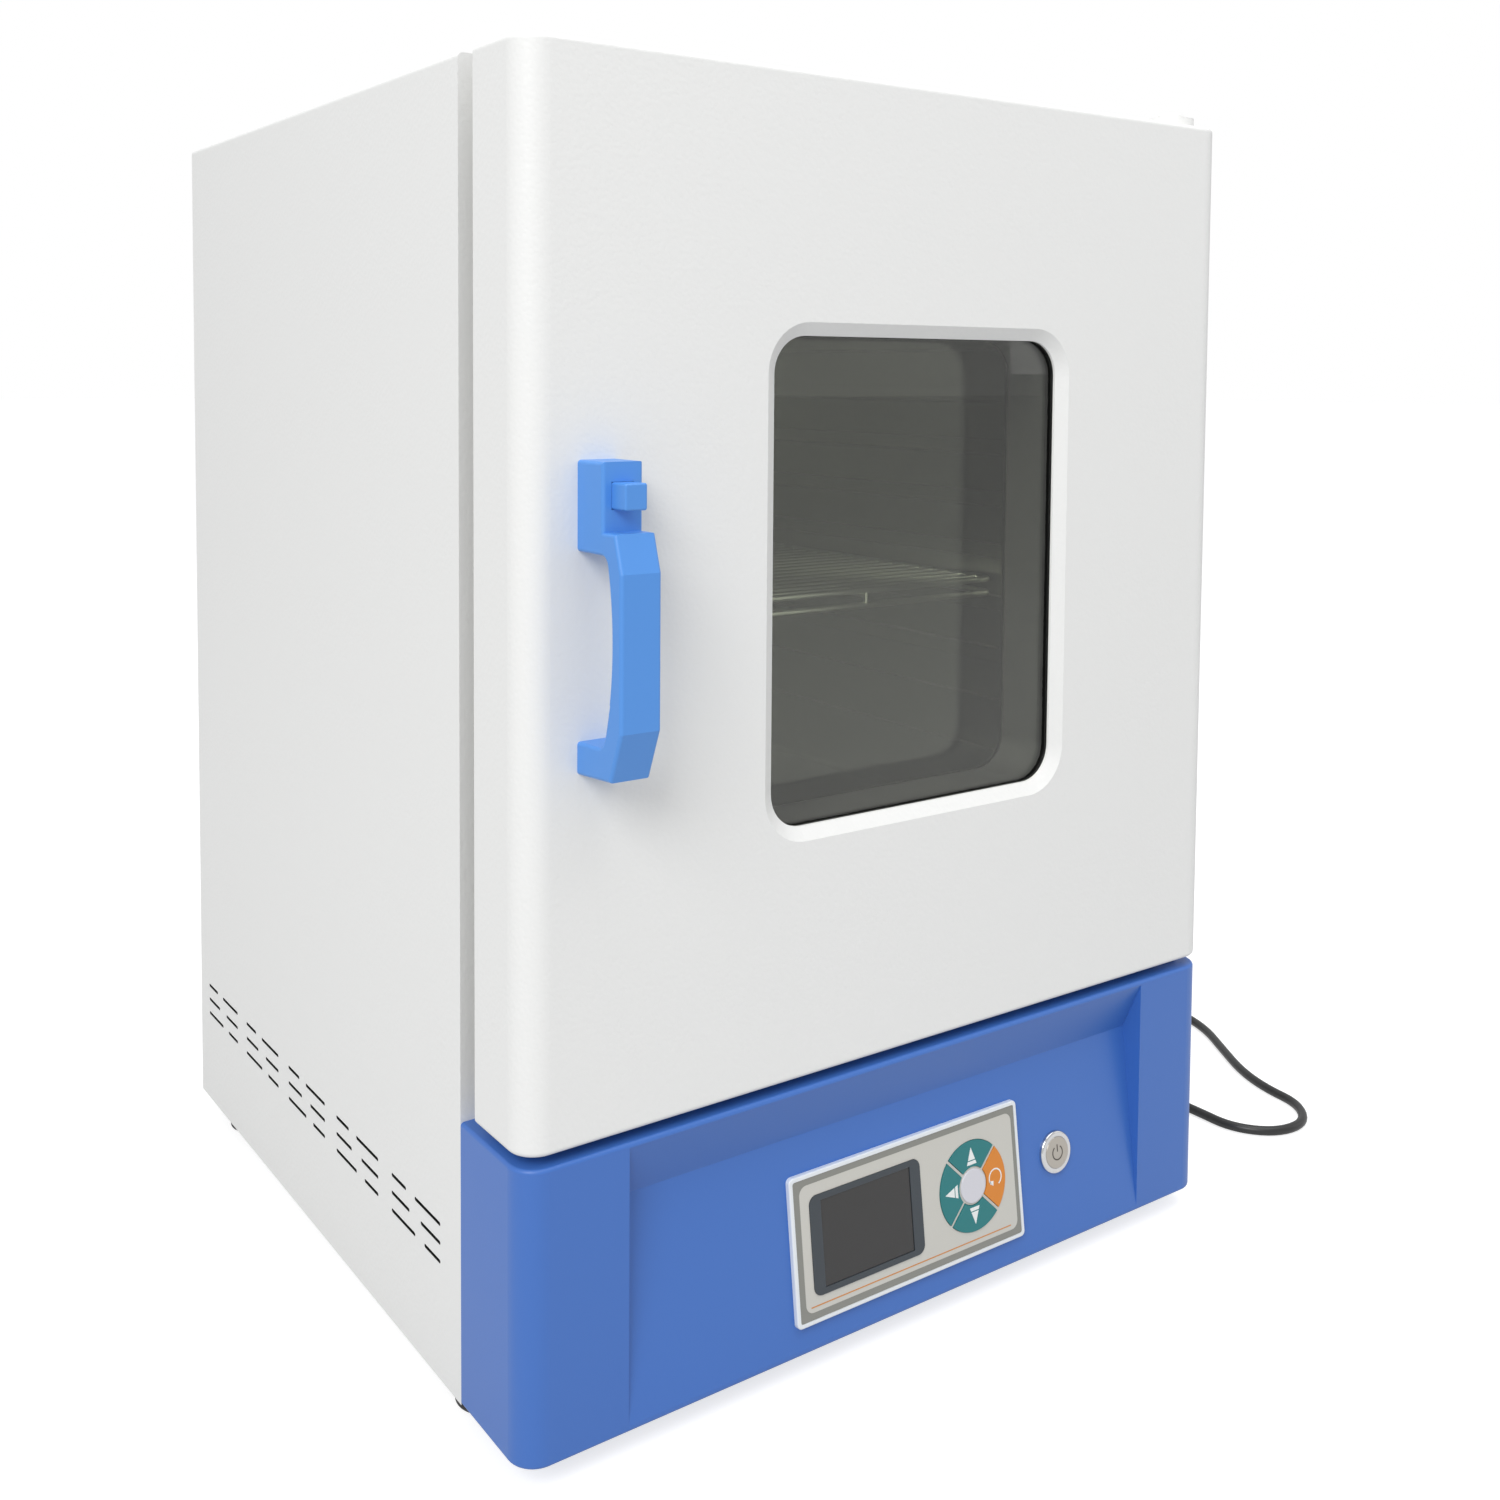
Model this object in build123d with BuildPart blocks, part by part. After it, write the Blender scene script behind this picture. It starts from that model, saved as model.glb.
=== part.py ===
from build123d import *
import os
from math import cos, hypot, pi, radians, sin, tan

os.makedirs("parts", exist_ok=True)

# Laboratory incubator: a bench cabinet with a glazed door over a control console.
# Frame: +X to the right seen from the front, +Y to the back, +Z up.
# Origin: centre of the overall width and depth, on the surface that the feet stand on.
# All sizes are in millimetres.

# Cabinet
cabinet_width = 495.0
cabinet_depth = 434.0
cabinet_height = 682.5
sheet = 1.5
bend_radius = 3.0
rear_flange = 14.0
foot_height = 14.0
foot_radius = 17.0
foot_inset_side = 23.0
foot_inset_front = 18.0
foot_inset_rear = 46.0

# Side vents: groups of three rows, each row a pair of slots
vent_groups = 5
vent_pitch = 81.9
vent_first = 24.5
vent_length = 63.2
vent_slot_height = 2.2
vent_row_pitch = 10.1
vent_lowest = 63.5
vent_rows = [(20.0, 31.5), (24.7, 24.0), (32.4, 19.5)]

# Console and its recess
console_height = 148.0
console_wall = 2.5
console_edge = 2.0
floor_gap = 2.0
recess_width = 376.0
recess_foot = 3.5
recess_rise = 111.2
recess_depth = 14.0
lip_height = 2.4

# Chamber, set in from the cabinet on all sides
side_wall = 72.5
chamber_floor = 77.0
chamber_roof = 72.5
rear_insulation = 38.0
rear_bay = 31.8
liner_sheet = 1.2
liner_flange = 12.0
chamber_corner = 4.0
duct_depth = 30.0
duct_sheet = 1.0
chamber_width = cabinet_width - 2 * side_wall
chamber_height = cabinet_height - console_height - chamber_floor - chamber_roof
chamber_depth = cabinet_depth - 2 * sheet - liner_sheet - rear_insulation - rear_bay
chamber_centre = console_height + chamber_floor + chamber_height / 2

# Door
door_gap = 16.3
door_depth = 50.0
door_sheet = 1.5
front_corner_radius = 15.0
door_edge = 3.0
door_bottom_gap = 5.6
window_offset = 3.0
window_inset_side = 72.25
window_inset_end = 63.25
window_width = chamber_width - 2 * window_inset_side
window_height = chamber_height - 2 * window_inset_end
window_corner = 20.0
bevel_width = 7.0
bevel_depth = 4.5
outer_glass = 4.0
inner_glass = 3.7
seal_depth = 8.0
seal_width = 8.0
glass_bite = 4.0
jamb_sheet = 1.0
gasket_inset = 8.0
gasket_width = 12.0
gasket_clear = 0.3

# Hinges
hinge_inset = 19.5
hinge_back = 41.0
hinge_width = 28.8
hinge_arm = 5.0
hinge_pad = 2.0
hinge_tail = 40.0
pin_radius = 4.0
pin_length = 20.0
bush_radius = 7.0
bush_flange = 10.0
bush_length = 22.0
running_clearance = 0.06

# Handle, push button and latch, just outside the gasket
strike_half = 10.0
strike_gap = 2.0
handle_inset = side_wall - gasket_inset - gasket_width - strike_gap - strike_half
handle_width = 22.0
handle_reach = 39.6
handle_foot = 336.0
handle_top = 486.0
block_depth = 22.9
block_height = 43.3
grip_top = 453.5
button_width = 12.0
button_height = 12.6
button_centre = 470.3
button_proud = 12.0
button_travel = 6.0
button_clear = 0.15
latch_pivot_back = 26.3
latch_pivot_drop = 24.3
latch_pin = 2.5

# Controls, placed on the slanted panel by distance across and up it
module_across = 2.5
module_up = 52.0
frame_width = 170.4
frame_height = 79.4
frame_proud = 3.0
frame_rim = 2.3
frame_floor = 1.8
overlay_sheet = 0.8
field_margin = 3.4
screen_across = -30.3
screen_up = 52.5
screen_width = 64.2
screen_height = 46.4
bezel_margin_side = 7.6
bezel_margin_end = 3.3
bezel_corner = 5.0
keypad_across = 49.0
keypad_radius = 25.7
hub_radius = 9.6
key_gap = 2.0
key_clear = 0.25
key_travel = 0.5
power_across = 119.4
power_flange = 12.6
power_body = 11.0
power_cap = 9.4
power_travel = 1.5

# Shelf and its racks
rail_count = 9
rail_pitch = chamber_height / (rail_count + 2)
rail_lowest = chamber_centre - chamber_height / 2 + 1.4 * rail_pitch
rail_height = 11.0
rail_reach = 8.0
rail_in_use = 3
rack_front = 36.0
rack_rear = 14.0
rack_sheet = 1.2
shelf_front = 54.0
shelf_rod = 2.0
shelf_wire = 1.4
shelf_rise = 9.3
shelf_pitch = 15.0
shelf_brace = 58.0
shelf_side_gap = 5.0
shelf_rear_gap = 6.0
rest_gap = 0.3

# Fan, heater, vent
fan_radius = 58.0
fan_depth = 15.0
fan_blades = 10
shaft_radius = 3.0
motor_radius = 38.0
motor_depth = 24.0
heater_ring = 80.0
heater_tube = 4.0
vent_bore = 12.0
vent_wall = 1.0
vent_from_front = 0.6 * cabinet_depth
vent_spigot = 14.0
cap_radius = 19.0
cap_height = 18.0

# Fasteners
screw_head = 2.0
screw_head_radius = 3.6
screw_radius = 1.9
screw_hole = 2.0

# Mains cord
cord_diameter = 6.5
cord_length = 1800.0
gland_length = 35.0
gland_radius = 9.0
cord_exit_inset = 57.5
cord_exit_height = 60.0
cord_exit_across = cabinet_width / 2 - cord_exit_inset
coil_out = 190.5
coil_back = 200.0
coil_mean_radius = 36.0

# Levels and planes that the sizes above give
front_reach = door_gap + door_depth + handle_reach
rear_reach = cabinet_depth + gland_length
y_cab = (front_reach - rear_reach) / 2
y_back = y_cab + cabinet_depth
y_door_back = y_cab - door_gap
y_front = y_door_back - door_depth
z_base = foot_height
z_top = z_base + cabinet_height
z_console = z_base + console_height
z_door = z_console + door_bottom_gap
z_floor = z_console + floor_gap
z_chamber = z_base + chamber_centre
half_width = cabinet_width / 2
inner_half = half_width - sheet
coil_centre = (half_width + coil_out, coil_back)
y_mouth = y_cab + sheet
y_wall = y_mouth + chamber_depth
y_duct = y_wall - duct_depth
y_insulation = y_wall + liner_sheet + rear_insulation
x_hinge = half_width - hinge_inset
y_hinge = y_cab - hinge_back


def facing(y):
    """The upright plane across the object at depth y: its normal points to the front."""
    return Plane.XZ.offset(-y)


def keep(piece, name):
    """Label a finished piece and write it out."""
    piece.part.label = name
    export_step(piece.part, f"parts/{name}.step")


def screw_points(points, plane):
    """Locations of screws on a plane, from points in the plane's own two directions."""
    return [plane * Location((across, up, 0)) for across, up in points]


# Hole patterns that two or more pieces share
top_screws = [
    (x_hinge, y_cab + hinge_tail * share) for share in (0.35, 0.8)
]
leg_screws = [
    (x_hinge, z_console + height) for height in (20.0, 38.0)
]
panel_margin = rear_flange / 2
back_screws = [
    (side * (inner_half - panel_margin), z_base + cabinet_height * share)
    for side in (-1, 1)
    for share in (0.06, 0.35, 0.65, 0.94)
] + [
    (side * inner_half / 2.5, z_top - sheet - panel_margin) for side in (-1, 1)
]
feet = [
    (side * (half_width - foot_inset_side), y)
    for side in (-1, 1)
    for y in (y_cab + foot_inset_front, y_back - foot_inset_rear)
]

# Outer casing
# One bent sheet over both sides and the top, with a return flange at the rear.
with BuildPart() as outer_casing:
    with BuildSketch(facing(y_back)):
        with Locations((0, z_base + cabinet_height / 2)):
            Rectangle(cabinet_width, cabinet_height)
        fillet(vertices().group_by(Axis.Y)[-1], bend_radius)
        with Locations((0, z_base + (cabinet_height - sheet) / 2)):
            Rectangle(2 * inner_half, cabinet_height - sheet, mode=Mode.SUBTRACT)
    extrude(amount=cabinet_depth)
    with BuildSketch(facing(y_back - sheet)):
        with Locations((0, z_base + cabinet_height / 2)):
            Rectangle(2 * inner_half, cabinet_height - 2 * sheet)
        with Locations((0, z_base + (cabinet_height - sheet - rear_flange) / 2)):
            Rectangle(
                2 * (inner_half - rear_flange),
                cabinet_height - sheet - rear_flange,
                mode=Mode.SUBTRACT,
            )
    extrude(amount=sheet)
    with BuildSketch(Plane.YZ):
        for group in range(vent_groups):
            start = y_cab + vent_first + group * vent_pitch
            for row, (near, far) in enumerate(vent_rows):
                height = z_base + vent_lowest + row * vent_row_pitch
                with Locations((start + near / 2, height)):
                    SlotOverall(near, vent_slot_height)
                with Locations((start + vent_length - far / 2, height)):
                    SlotOverall(far, vent_slot_height)
    extrude(amount=cabinet_width, both=True, mode=Mode.SUBTRACT)
    with BuildSketch(Plane.XY.offset(z_top)):
        with Locations((0, y_cab + vent_from_front)):
            Circle(vent_bore + vent_wall + running_clearance)
        with Locations(*top_screws):
            Circle(screw_hole)
    extrude(amount=-2 * sheet, mode=Mode.SUBTRACT)
    with BuildSketch(facing(y_back)):
        with Locations(*back_screws):
            Circle(screw_hole)
    extrude(amount=3 * sheet, mode=Mode.SUBTRACT)
keep(outer_casing, "outer_casing")

# Back panel
# Flat sheet screwed to the casing's flange, with slots behind the fan motor.
rear_slot = cabinet_width / 12.4
rear_slot_width = 4.0
rear_slot_pitch = 12.0
with BuildPart() as back_panel:
    with BuildSketch(facing(y_back)):
        with Locations((0, z_base + cabinet_height / 2)):
            Rectangle(2 * inner_half, cabinet_height - 2 * sheet)
        with Locations(*back_screws):
            Circle(screw_hole, mode=Mode.SUBTRACT)
        with Locations((0, z_chamber)):
            with GridLocations(1.5 * rear_slot, rear_slot_pitch, 2, 7):
                SlotOverall(rear_slot, rear_slot_width, mode=Mode.SUBTRACT)
        with Locations((0, z_base + console_height / 2)):
            with GridLocations(1.5 * rear_slot, rear_slot_pitch, 3, 5):
                SlotOverall(rear_slot, rear_slot_width, mode=Mode.SUBTRACT)
        with Locations((cord_exit_across, cord_exit_height)):
            Circle(gland_radius, mode=Mode.SUBTRACT)
    extrude(amount=sheet)
keep(back_panel, "back_panel")

# Bottom pan
# Floor of the cabinet: it carries the feet and the electrics.
foot_screw_radius = 2.4
with BuildPart() as bottom_pan:
    with BuildSketch(Plane.XY.offset(z_base)):
        with Locations((0, (y_cab + y_back) / 2)):
            Rectangle(2 * inner_half, cabinet_depth)
        with Locations(*feet):
            Circle(foot_screw_radius + running_clearance, mode=Mode.SUBTRACT)
    extrude(amount=sheet)
keep(bottom_pan, "bottom_pan")

# Feet
# Turned rubber cones, hollow under the head of the screw that holds each one.
foot_top_radius = 14.0
foot_recess = 5.5
foot_recess_radius = 6.0
for name, (x, y) in zip(
    ("foot_front_left", "foot_rear_left", "foot_front_right", "foot_rear_right"), feet
):
    with BuildPart() as foot:
        with BuildSketch(Plane.XY):
            with Locations((x, y)):
                Circle(foot_radius)
        with BuildSketch(Plane.XY.offset(foot_height)):
            with Locations((x, y)):
                Circle(foot_top_radius)
        loft()
        fillet(foot.edges().group_by(Axis.Z)[0], 2.5)
        with Locations((x, y, 0)):
            Cylinder(
                foot_recess_radius,
                foot_recess,
                align=(Align.CENTER, Align.CENTER, Align.MIN),
                mode=Mode.SUBTRACT,
            )
            Cylinder(
                foot_screw_radius + running_clearance,
                foot_height,
                align=(Align.CENTER, Align.CENTER, Align.MIN),
                mode=Mode.SUBTRACT,
            )
    keep(foot, name)

# Front frame
# White sheet round the chamber mouth, seen in the gap behind the door.
cable_window = (cabinet_width - 135.0, console_height - 52.0)
with BuildPart() as front_frame:
    with BuildSketch(facing(y_cab)):
        with Locations((0, z_base + cabinet_height / 2)):
            Rectangle(2 * inner_half, cabinet_height - 2 * sheet)
        with Locations((0, z_chamber)):
            RectangleRounded(
                chamber_width, chamber_height, chamber_corner, mode=Mode.SUBTRACT
            )
        with Locations((0, z_base + console_height / 2)):
            Rectangle(*cable_window, mode=Mode.SUBTRACT)
        with Locations(*leg_screws):
            Circle(screw_hole, mode=Mode.SUBTRACT)
    extrude(amount=-sheet)
keep(front_frame, "front_frame")

# Inner floor
# Shelf that parts the electrics from the chamber and carries the insulation.
floor_slot = (90.0, 18.0)
with BuildPart() as inner_floor:
    with BuildSketch(Plane.XY.offset(z_floor)):
        with Locations((0, (y_mouth + y_back - 2 * sheet) / 2)):
            Rectangle(2 * inner_half, y_back - 2 * sheet - y_mouth)
        with Locations((0, y_back - 2 * sheet - rear_bay / 2)):
            SlotOverall(*floor_slot, mode=Mode.SUBTRACT)
    extrude(amount=sheet)
keep(inner_floor, "inner_floor")

# Chamber liner
# Polished stainless box, open to the front, with a flange behind the front frame.
heater_leg_across = heater_ring * sin(radians(25))
heater_leg_up = z_chamber - heater_ring * cos(radians(25))
leg_hole = heater_tube + running_clearance
with BuildPart() as chamber_liner:
    with BuildSketch(facing(y_mouth)):
        with Locations((0, z_chamber)):
            RectangleRounded(
                chamber_width + 2 * liner_sheet,
                chamber_height + 2 * liner_sheet,
                chamber_corner + liner_sheet,
            )
    extrude(amount=-(chamber_depth + liner_sheet))
    with BuildSketch(facing(y_mouth)):
        with Locations((0, z_chamber)):
            Rectangle(
                chamber_width + 2 * liner_flange, chamber_height + 2 * liner_flange
            )
    extrude(amount=-liner_sheet)
    with BuildSketch(facing(y_mouth)):
        with Locations((0, z_chamber)):
            RectangleRounded(chamber_width, chamber_height, chamber_corner)
    extrude(amount=-chamber_depth, mode=Mode.SUBTRACT)
    with BuildSketch(facing(y_wall)):
        with Locations((0, z_chamber)):
            Circle(2 * shaft_radius)
        with Locations(
            (-heater_leg_across, heater_leg_up), (heater_leg_across, heater_leg_up)
        ):
            Circle(leg_hole)
    extrude(amount=-2 * liner_sheet, mode=Mode.SUBTRACT)
    with BuildSketch(Plane.XY.offset(z_chamber)):
        with Locations((0, y_cab + vent_from_front)):
            Circle(vent_bore + vent_wall)
    extrude(amount=chamber_height, mode=Mode.SUBTRACT)
keep(chamber_liner, "chamber_liner")

# Insulation
# Mineral wool packed round the liner, down to the inner floor.
wool_clear = 0.3
with BuildPart() as insulation:
    with BuildSketch(facing(y_mouth + liner_sheet)):
        with Locations((0, (z_floor + z_top) / 2)):
            Rectangle(2 * (inner_half - wool_clear), z_top - z_floor - 2 * sheet)
    extrude(amount=-(y_insulation - y_mouth - liner_sheet))
    with BuildSketch(facing(y_mouth)):
        with Locations((0, z_chamber)):
            Rectangle(
                chamber_width + 2 * liner_sheet, chamber_height + 2 * liner_sheet
            )
    extrude(amount=-(chamber_depth + liner_sheet), mode=Mode.SUBTRACT)
    with BuildSketch(facing(y_wall)):
        with Locations((0, z_chamber)):
            Circle(2 * shaft_radius)
        with Locations(
            (-heater_leg_across, heater_leg_up), (heater_leg_across, heater_leg_up)
        ):
            Circle(leg_hole)
    extrude(amount=-2 * rear_insulation, mode=Mode.SUBTRACT)
    with BuildSketch(Plane.XY.offset(z_chamber)):
        with Locations((0, y_cab + vent_from_front)):
            Circle(vent_bore + vent_wall)
    extrude(amount=cabinet_height, mode=Mode.SUBTRACT)
keep(insulation, "insulation")

# Rear duct plate
# Folded stainless cover over the fan: intake slots in the middle, outlets at the sides.
duct_half = chamber_width / 2 - 1.0
duct_edge = 6.0
duct_height = chamber_height - 2 * duct_edge
duct_screw_inset = 25.0
duct_screw_drop = 42.5
duct_screws = [
    (
        side * (chamber_width / 2 - duct_screw_inset),
        z_chamber + up * (chamber_height / 2 - duct_screw_drop),
    )
    for side in (-1, 1)
    for up in (-1, 1)
]
intake_slot = (30.0, 5.0)
outlet_slot = (44.0, 6.0)
outlet_across = chamber_width / 2 - 57.0
outlet_pitch = chamber_height / 14.8
with BuildPart() as duct_plate:
    with BuildSketch(facing(y_wall)):
        with Locations((0, z_chamber)):
            Rectangle(2 * duct_half, duct_height)
    extrude(amount=duct_depth)
    with BuildSketch(facing(y_wall)):
        with Locations((0, z_chamber)):
            Rectangle(2 * (duct_half - duct_sheet), duct_height + 1)
    extrude(amount=duct_depth - duct_sheet, mode=Mode.SUBTRACT)
    with BuildSketch(facing(y_duct)):
        with Locations((0, z_chamber)):
            with PolarLocations(intake_slot[0], 12):
                SlotOverall(*intake_slot)
        with Locations((0, z_chamber)):
            with GridLocations(2 * outlet_across, outlet_pitch, 2, 11):
                SlotOverall(*outlet_slot)
        with Locations(*duct_screws):
            Circle(screw_hole)
    extrude(amount=-2 * duct_sheet, mode=Mode.SUBTRACT)
keep(duct_plate, "duct_plate")

# Fan motor
# Flanged can on the rear face of the insulation.
motor_flange = 104.0
with BuildPart() as fan_motor:
    with BuildSketch(facing(y_insulation)):
        with Locations((0, z_chamber)):
            RectangleRounded(motor_flange, motor_flange, 8)
    extrude(amount=-2.0)
    with BuildSketch(facing(y_insulation)):
        with Locations((0, z_chamber)):
            Circle(motor_radius)
    extrude(amount=-motor_depth)
    fillet(fan_motor.edges().group_by(Axis.Y)[-1], 3)
    with BuildSketch(facing(y_insulation)):
        with Locations((0, z_chamber)):
            Circle(shaft_radius + running_clearance)
    extrude(amount=-motor_depth / 2, mode=Mode.SUBTRACT)
keep(fan_motor, "fan_motor")

# Fan wheel and shaft
# Radial wheel: blades stand on a disc behind the duct plate's intake.
wheel_back = y_wall - 6.0
wheel_disc = 1.5
hub_size = 9.0
with BuildPart() as fan_wheel:
    with BuildSketch(facing(wheel_back)):
        with Locations((0, z_chamber)):
            Circle(fan_radius)
    extrude(amount=wheel_disc)
    with BuildSketch(facing(wheel_back)):
        with Locations((0, z_chamber)):
            Circle(hub_size)
            with PolarLocations(fan_radius - 12, fan_blades):
                with Locations(Rotation(0, 0, 35)):
                    Rectangle(18, 1.6)
    extrude(amount=fan_depth)
    with BuildSketch(facing(wheel_back + 1)):
        with Locations((0, z_chamber)):
            Circle(shaft_radius)
    extrude(amount=fan_depth, mode=Mode.SUBTRACT)
keep(fan_wheel, "fan_wheel")

with BuildPart() as fan_shaft:
    with BuildSketch(facing(wheel_back + 1 - fan_depth)):
        with Locations((0, z_chamber)):
            Circle(shaft_radius)
    extrude(amount=-(y_insulation + motor_depth / 2 - 1 - (wheel_back + 1 - fan_depth)))
keep(fan_shaft, "fan_shaft")

# Heater
# Sheathed element bent to an open ring round the fan, its two legs through the back wall.
heater_y = y_wall - duct_depth / 2
heater_tail = 14.0
with BuildPart() as heater:
    with BuildLine() as ring:
        ThreePointArc(
            (-heater_leg_across, heater_y, heater_leg_up),
            (0, heater_y, z_chamber + heater_ring),
            (heater_leg_across, heater_y, heater_leg_up),
        )
    with BuildSketch(Plane(ring.line @ 0, z_dir=ring.line % 0)):
        Circle(heater_tube)
    sweep(path=ring.line)
    for side in (-1, 1):
        with Locations((side * heater_leg_across, heater_y, heater_leg_up)):
            Sphere(heater_tube)
        with BuildSketch(facing(heater_y)):
            with Locations((side * heater_leg_across, heater_leg_up)):
                Circle(heater_tube)
        extrude(amount=-(y_insulation + heater_tail - heater_y))
keep(heater, "heater")

# Temperature probe
# Slim sheath held off the duct plate by two clips.
probe_across = chamber_width / 2 - duct_screw_inset
probe_radius = 2.5
probe_length = 90.0
probe_off = 3.0
probe_y = y_duct - probe_off - probe_radius
with BuildPart() as temperature_probe:
    with BuildSketch(Plane.XY.offset(z_chamber - probe_length / 2)):
        with Locations((probe_across, probe_y)):
            Circle(probe_radius)
    extrude(amount=probe_length)
    for up in (-1, 1):
        with BuildSketch(Plane.XY.offset(z_chamber + up * probe_length / 3 - 3)):
            with Locations((probe_across, (probe_y + y_duct) / 2 - 1)):
                Rectangle(2 * probe_radius + 3, y_duct - probe_y + 2)
        extrude(amount=6)
keep(temperature_probe, "temperature_probe")

# Shelf racks
# One folded strip each side, with pressed rails that a shelf slides on.
rack_length = y_duct - rack_rear - (y_cab + rack_front)
rack_bottom = z_base + rail_lowest - rail_height - 12
rack_top = z_base + rail_lowest + (rail_count - 1) * rail_pitch + 12
for name, side in (("shelf_rack_left", -1), ("shelf_rack_right", 1)):
    wall = side * chamber_width / 2
    with BuildPart() as rack:
        with BuildSketch(facing(y_cab + rack_front)):
            with BuildLine():
                rail_points = [(wall - side * rack_sheet, rack_bottom)]
                for rail in range(rail_count):
                    top = z_base + rail_lowest + rail * rail_pitch
                    rail_points += [
                        (wall - side * rack_sheet, top - rail_height),
                        (wall - side * rail_reach, top - rail_height + 2),
                        (wall - side * rail_reach, top),
                        (wall - side * rack_sheet, top),
                    ]
                rail_points += [(wall - side * rack_sheet, rack_top)]
                Polyline(*rail_points, (wall, rack_top), (wall, rack_bottom), close=True)
            make_face()
        extrude(amount=-rack_length)
    keep(rack, name)

# Wire shelf
# Cross wires on long rods, with a second rod under the front and rear edge.
rest_top = z_base + rail_lowest + rail_in_use * rail_pitch
lower_rod = rest_top + rest_gap + shelf_rod
upper_rod = lower_rod + shelf_rise
shelf_half = chamber_width / 2 - shelf_side_gap - shelf_rod
y_shelf = y_cab + shelf_front
y_shelf_rear = y_duct - shelf_rear_gap - shelf_rod - probe_off - 2 * probe_radius - 2
shelf_depth = y_shelf_rear - y_shelf
wire_rows = int(shelf_depth // shelf_pitch)
with BuildPart() as wire_shelf:
    for height in (lower_rod, upper_rod):
        with BuildLine() as loop:
            FilletPolyline(
                (-shelf_half, y_shelf, height),
                (shelf_half, y_shelf, height),
                (shelf_half, y_shelf_rear, height),
                (-shelf_half, y_shelf_rear, height),
                radius=8,
                close=True,
            )
        with BuildSketch(Plane(loop.line @ 0, z_dir=loop.line % 0)):
            Circle(shelf_rod)
        sweep(path=loop.line)
    for row in range(1, wire_rows + 1):
        with BuildSketch(Plane.YZ.offset(-shelf_half)):
            with Locations((y_shelf + row * shelf_depth / (wire_rows + 1), upper_rod)):
                Circle(shelf_wire)
        extrude(amount=2 * shelf_half)
    for x in (-shelf_brace, shelf_brace):
        with BuildSketch(facing(y_shelf)):
            with Locations((x, upper_rod - shelf_rod - 0.9)):
                Circle(shelf_rod - 0.1)
        extrude(amount=-shelf_depth)
    posts = [(x, y) for x in (-shelf_brace, shelf_brace) for y in (y_shelf, y_shelf_rear)] + [
        (x, y_shelf + shelf_depth * share)
        for x in (-shelf_half, shelf_half)
        for share in (0.22, 0.78)
    ]
    with BuildSketch(Plane.XY.offset(lower_rod)):
        with Locations(*posts):
            Circle(shelf_rod - 0.3)
    extrude(amount=shelf_rise)
keep(wire_shelf, "wire_shelf")

# Exhaust vent
# Flanged tube from the chamber's roof, with a turning cap that covers its side windows.
y_vent = y_cab + vent_from_front
z_roof = z_chamber + chamber_height / 2
window_arc = 8.0
with BuildPart() as vent_tube:
    with BuildSketch(Plane.XY.offset(z_roof)):
        with Locations((0, y_vent)):
            Circle(vent_bore + vent_wall)
    extrude(amount=z_top + vent_spigot - z_roof)
    with BuildSketch(Plane.XY.offset(z_top)):
        with Locations((0, y_vent)):
            Circle(cap_radius + 3)
    extrude(amount=2.0)
    with BuildSketch(Plane.XY.offset(z_roof)):
        with Locations((0, y_vent)):
            Circle(vent_bore)
    extrude(amount=z_top + vent_spigot - z_roof, mode=Mode.SUBTRACT)
    with BuildSketch(facing(y_vent)):
        with Locations((0, z_top + vent_spigot / 2 + 2)):
            Rectangle(window_arc, 6)
    extrude(amount=cap_radius, both=True, mode=Mode.SUBTRACT)
keep(vent_tube, "vent_tube")

with BuildPart() as vent_cap:
    with BuildSketch(Plane.XY.offset(z_top + 2.0 + rest_gap)):
        with Locations((0, y_vent)):
            Circle(cap_radius)
    extrude(amount=cap_height - 2.0)
    fillet(vent_cap.edges().group_by(Axis.Z)[-1], 3)
    with BuildSketch(Plane.XY.offset(z_top)):
        with Locations((0, y_vent)):
            Circle(vent_bore + vent_wall + running_clearance)
    extrude(amount=vent_spigot + rest_gap, mode=Mode.SUBTRACT)
    with BuildSketch(facing(y_vent)):
        with Locations((0, z_top + vent_spigot / 2 + 2)):
            Rectangle(window_arc, 6)
    extrude(amount=2 * cap_radius, both=True, mode=Mode.SUBTRACT)
    with BuildSketch(Plane.XY.offset(z_top + cap_height)):
        with Locations((0, y_vent)):
            with PolarLocations(cap_radius + 1.5, 12):
                Circle(2.6)
    extrude(amount=-cap_height, mode=Mode.SUBTRACT)
keep(vent_cap, "vent_cap")

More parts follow.
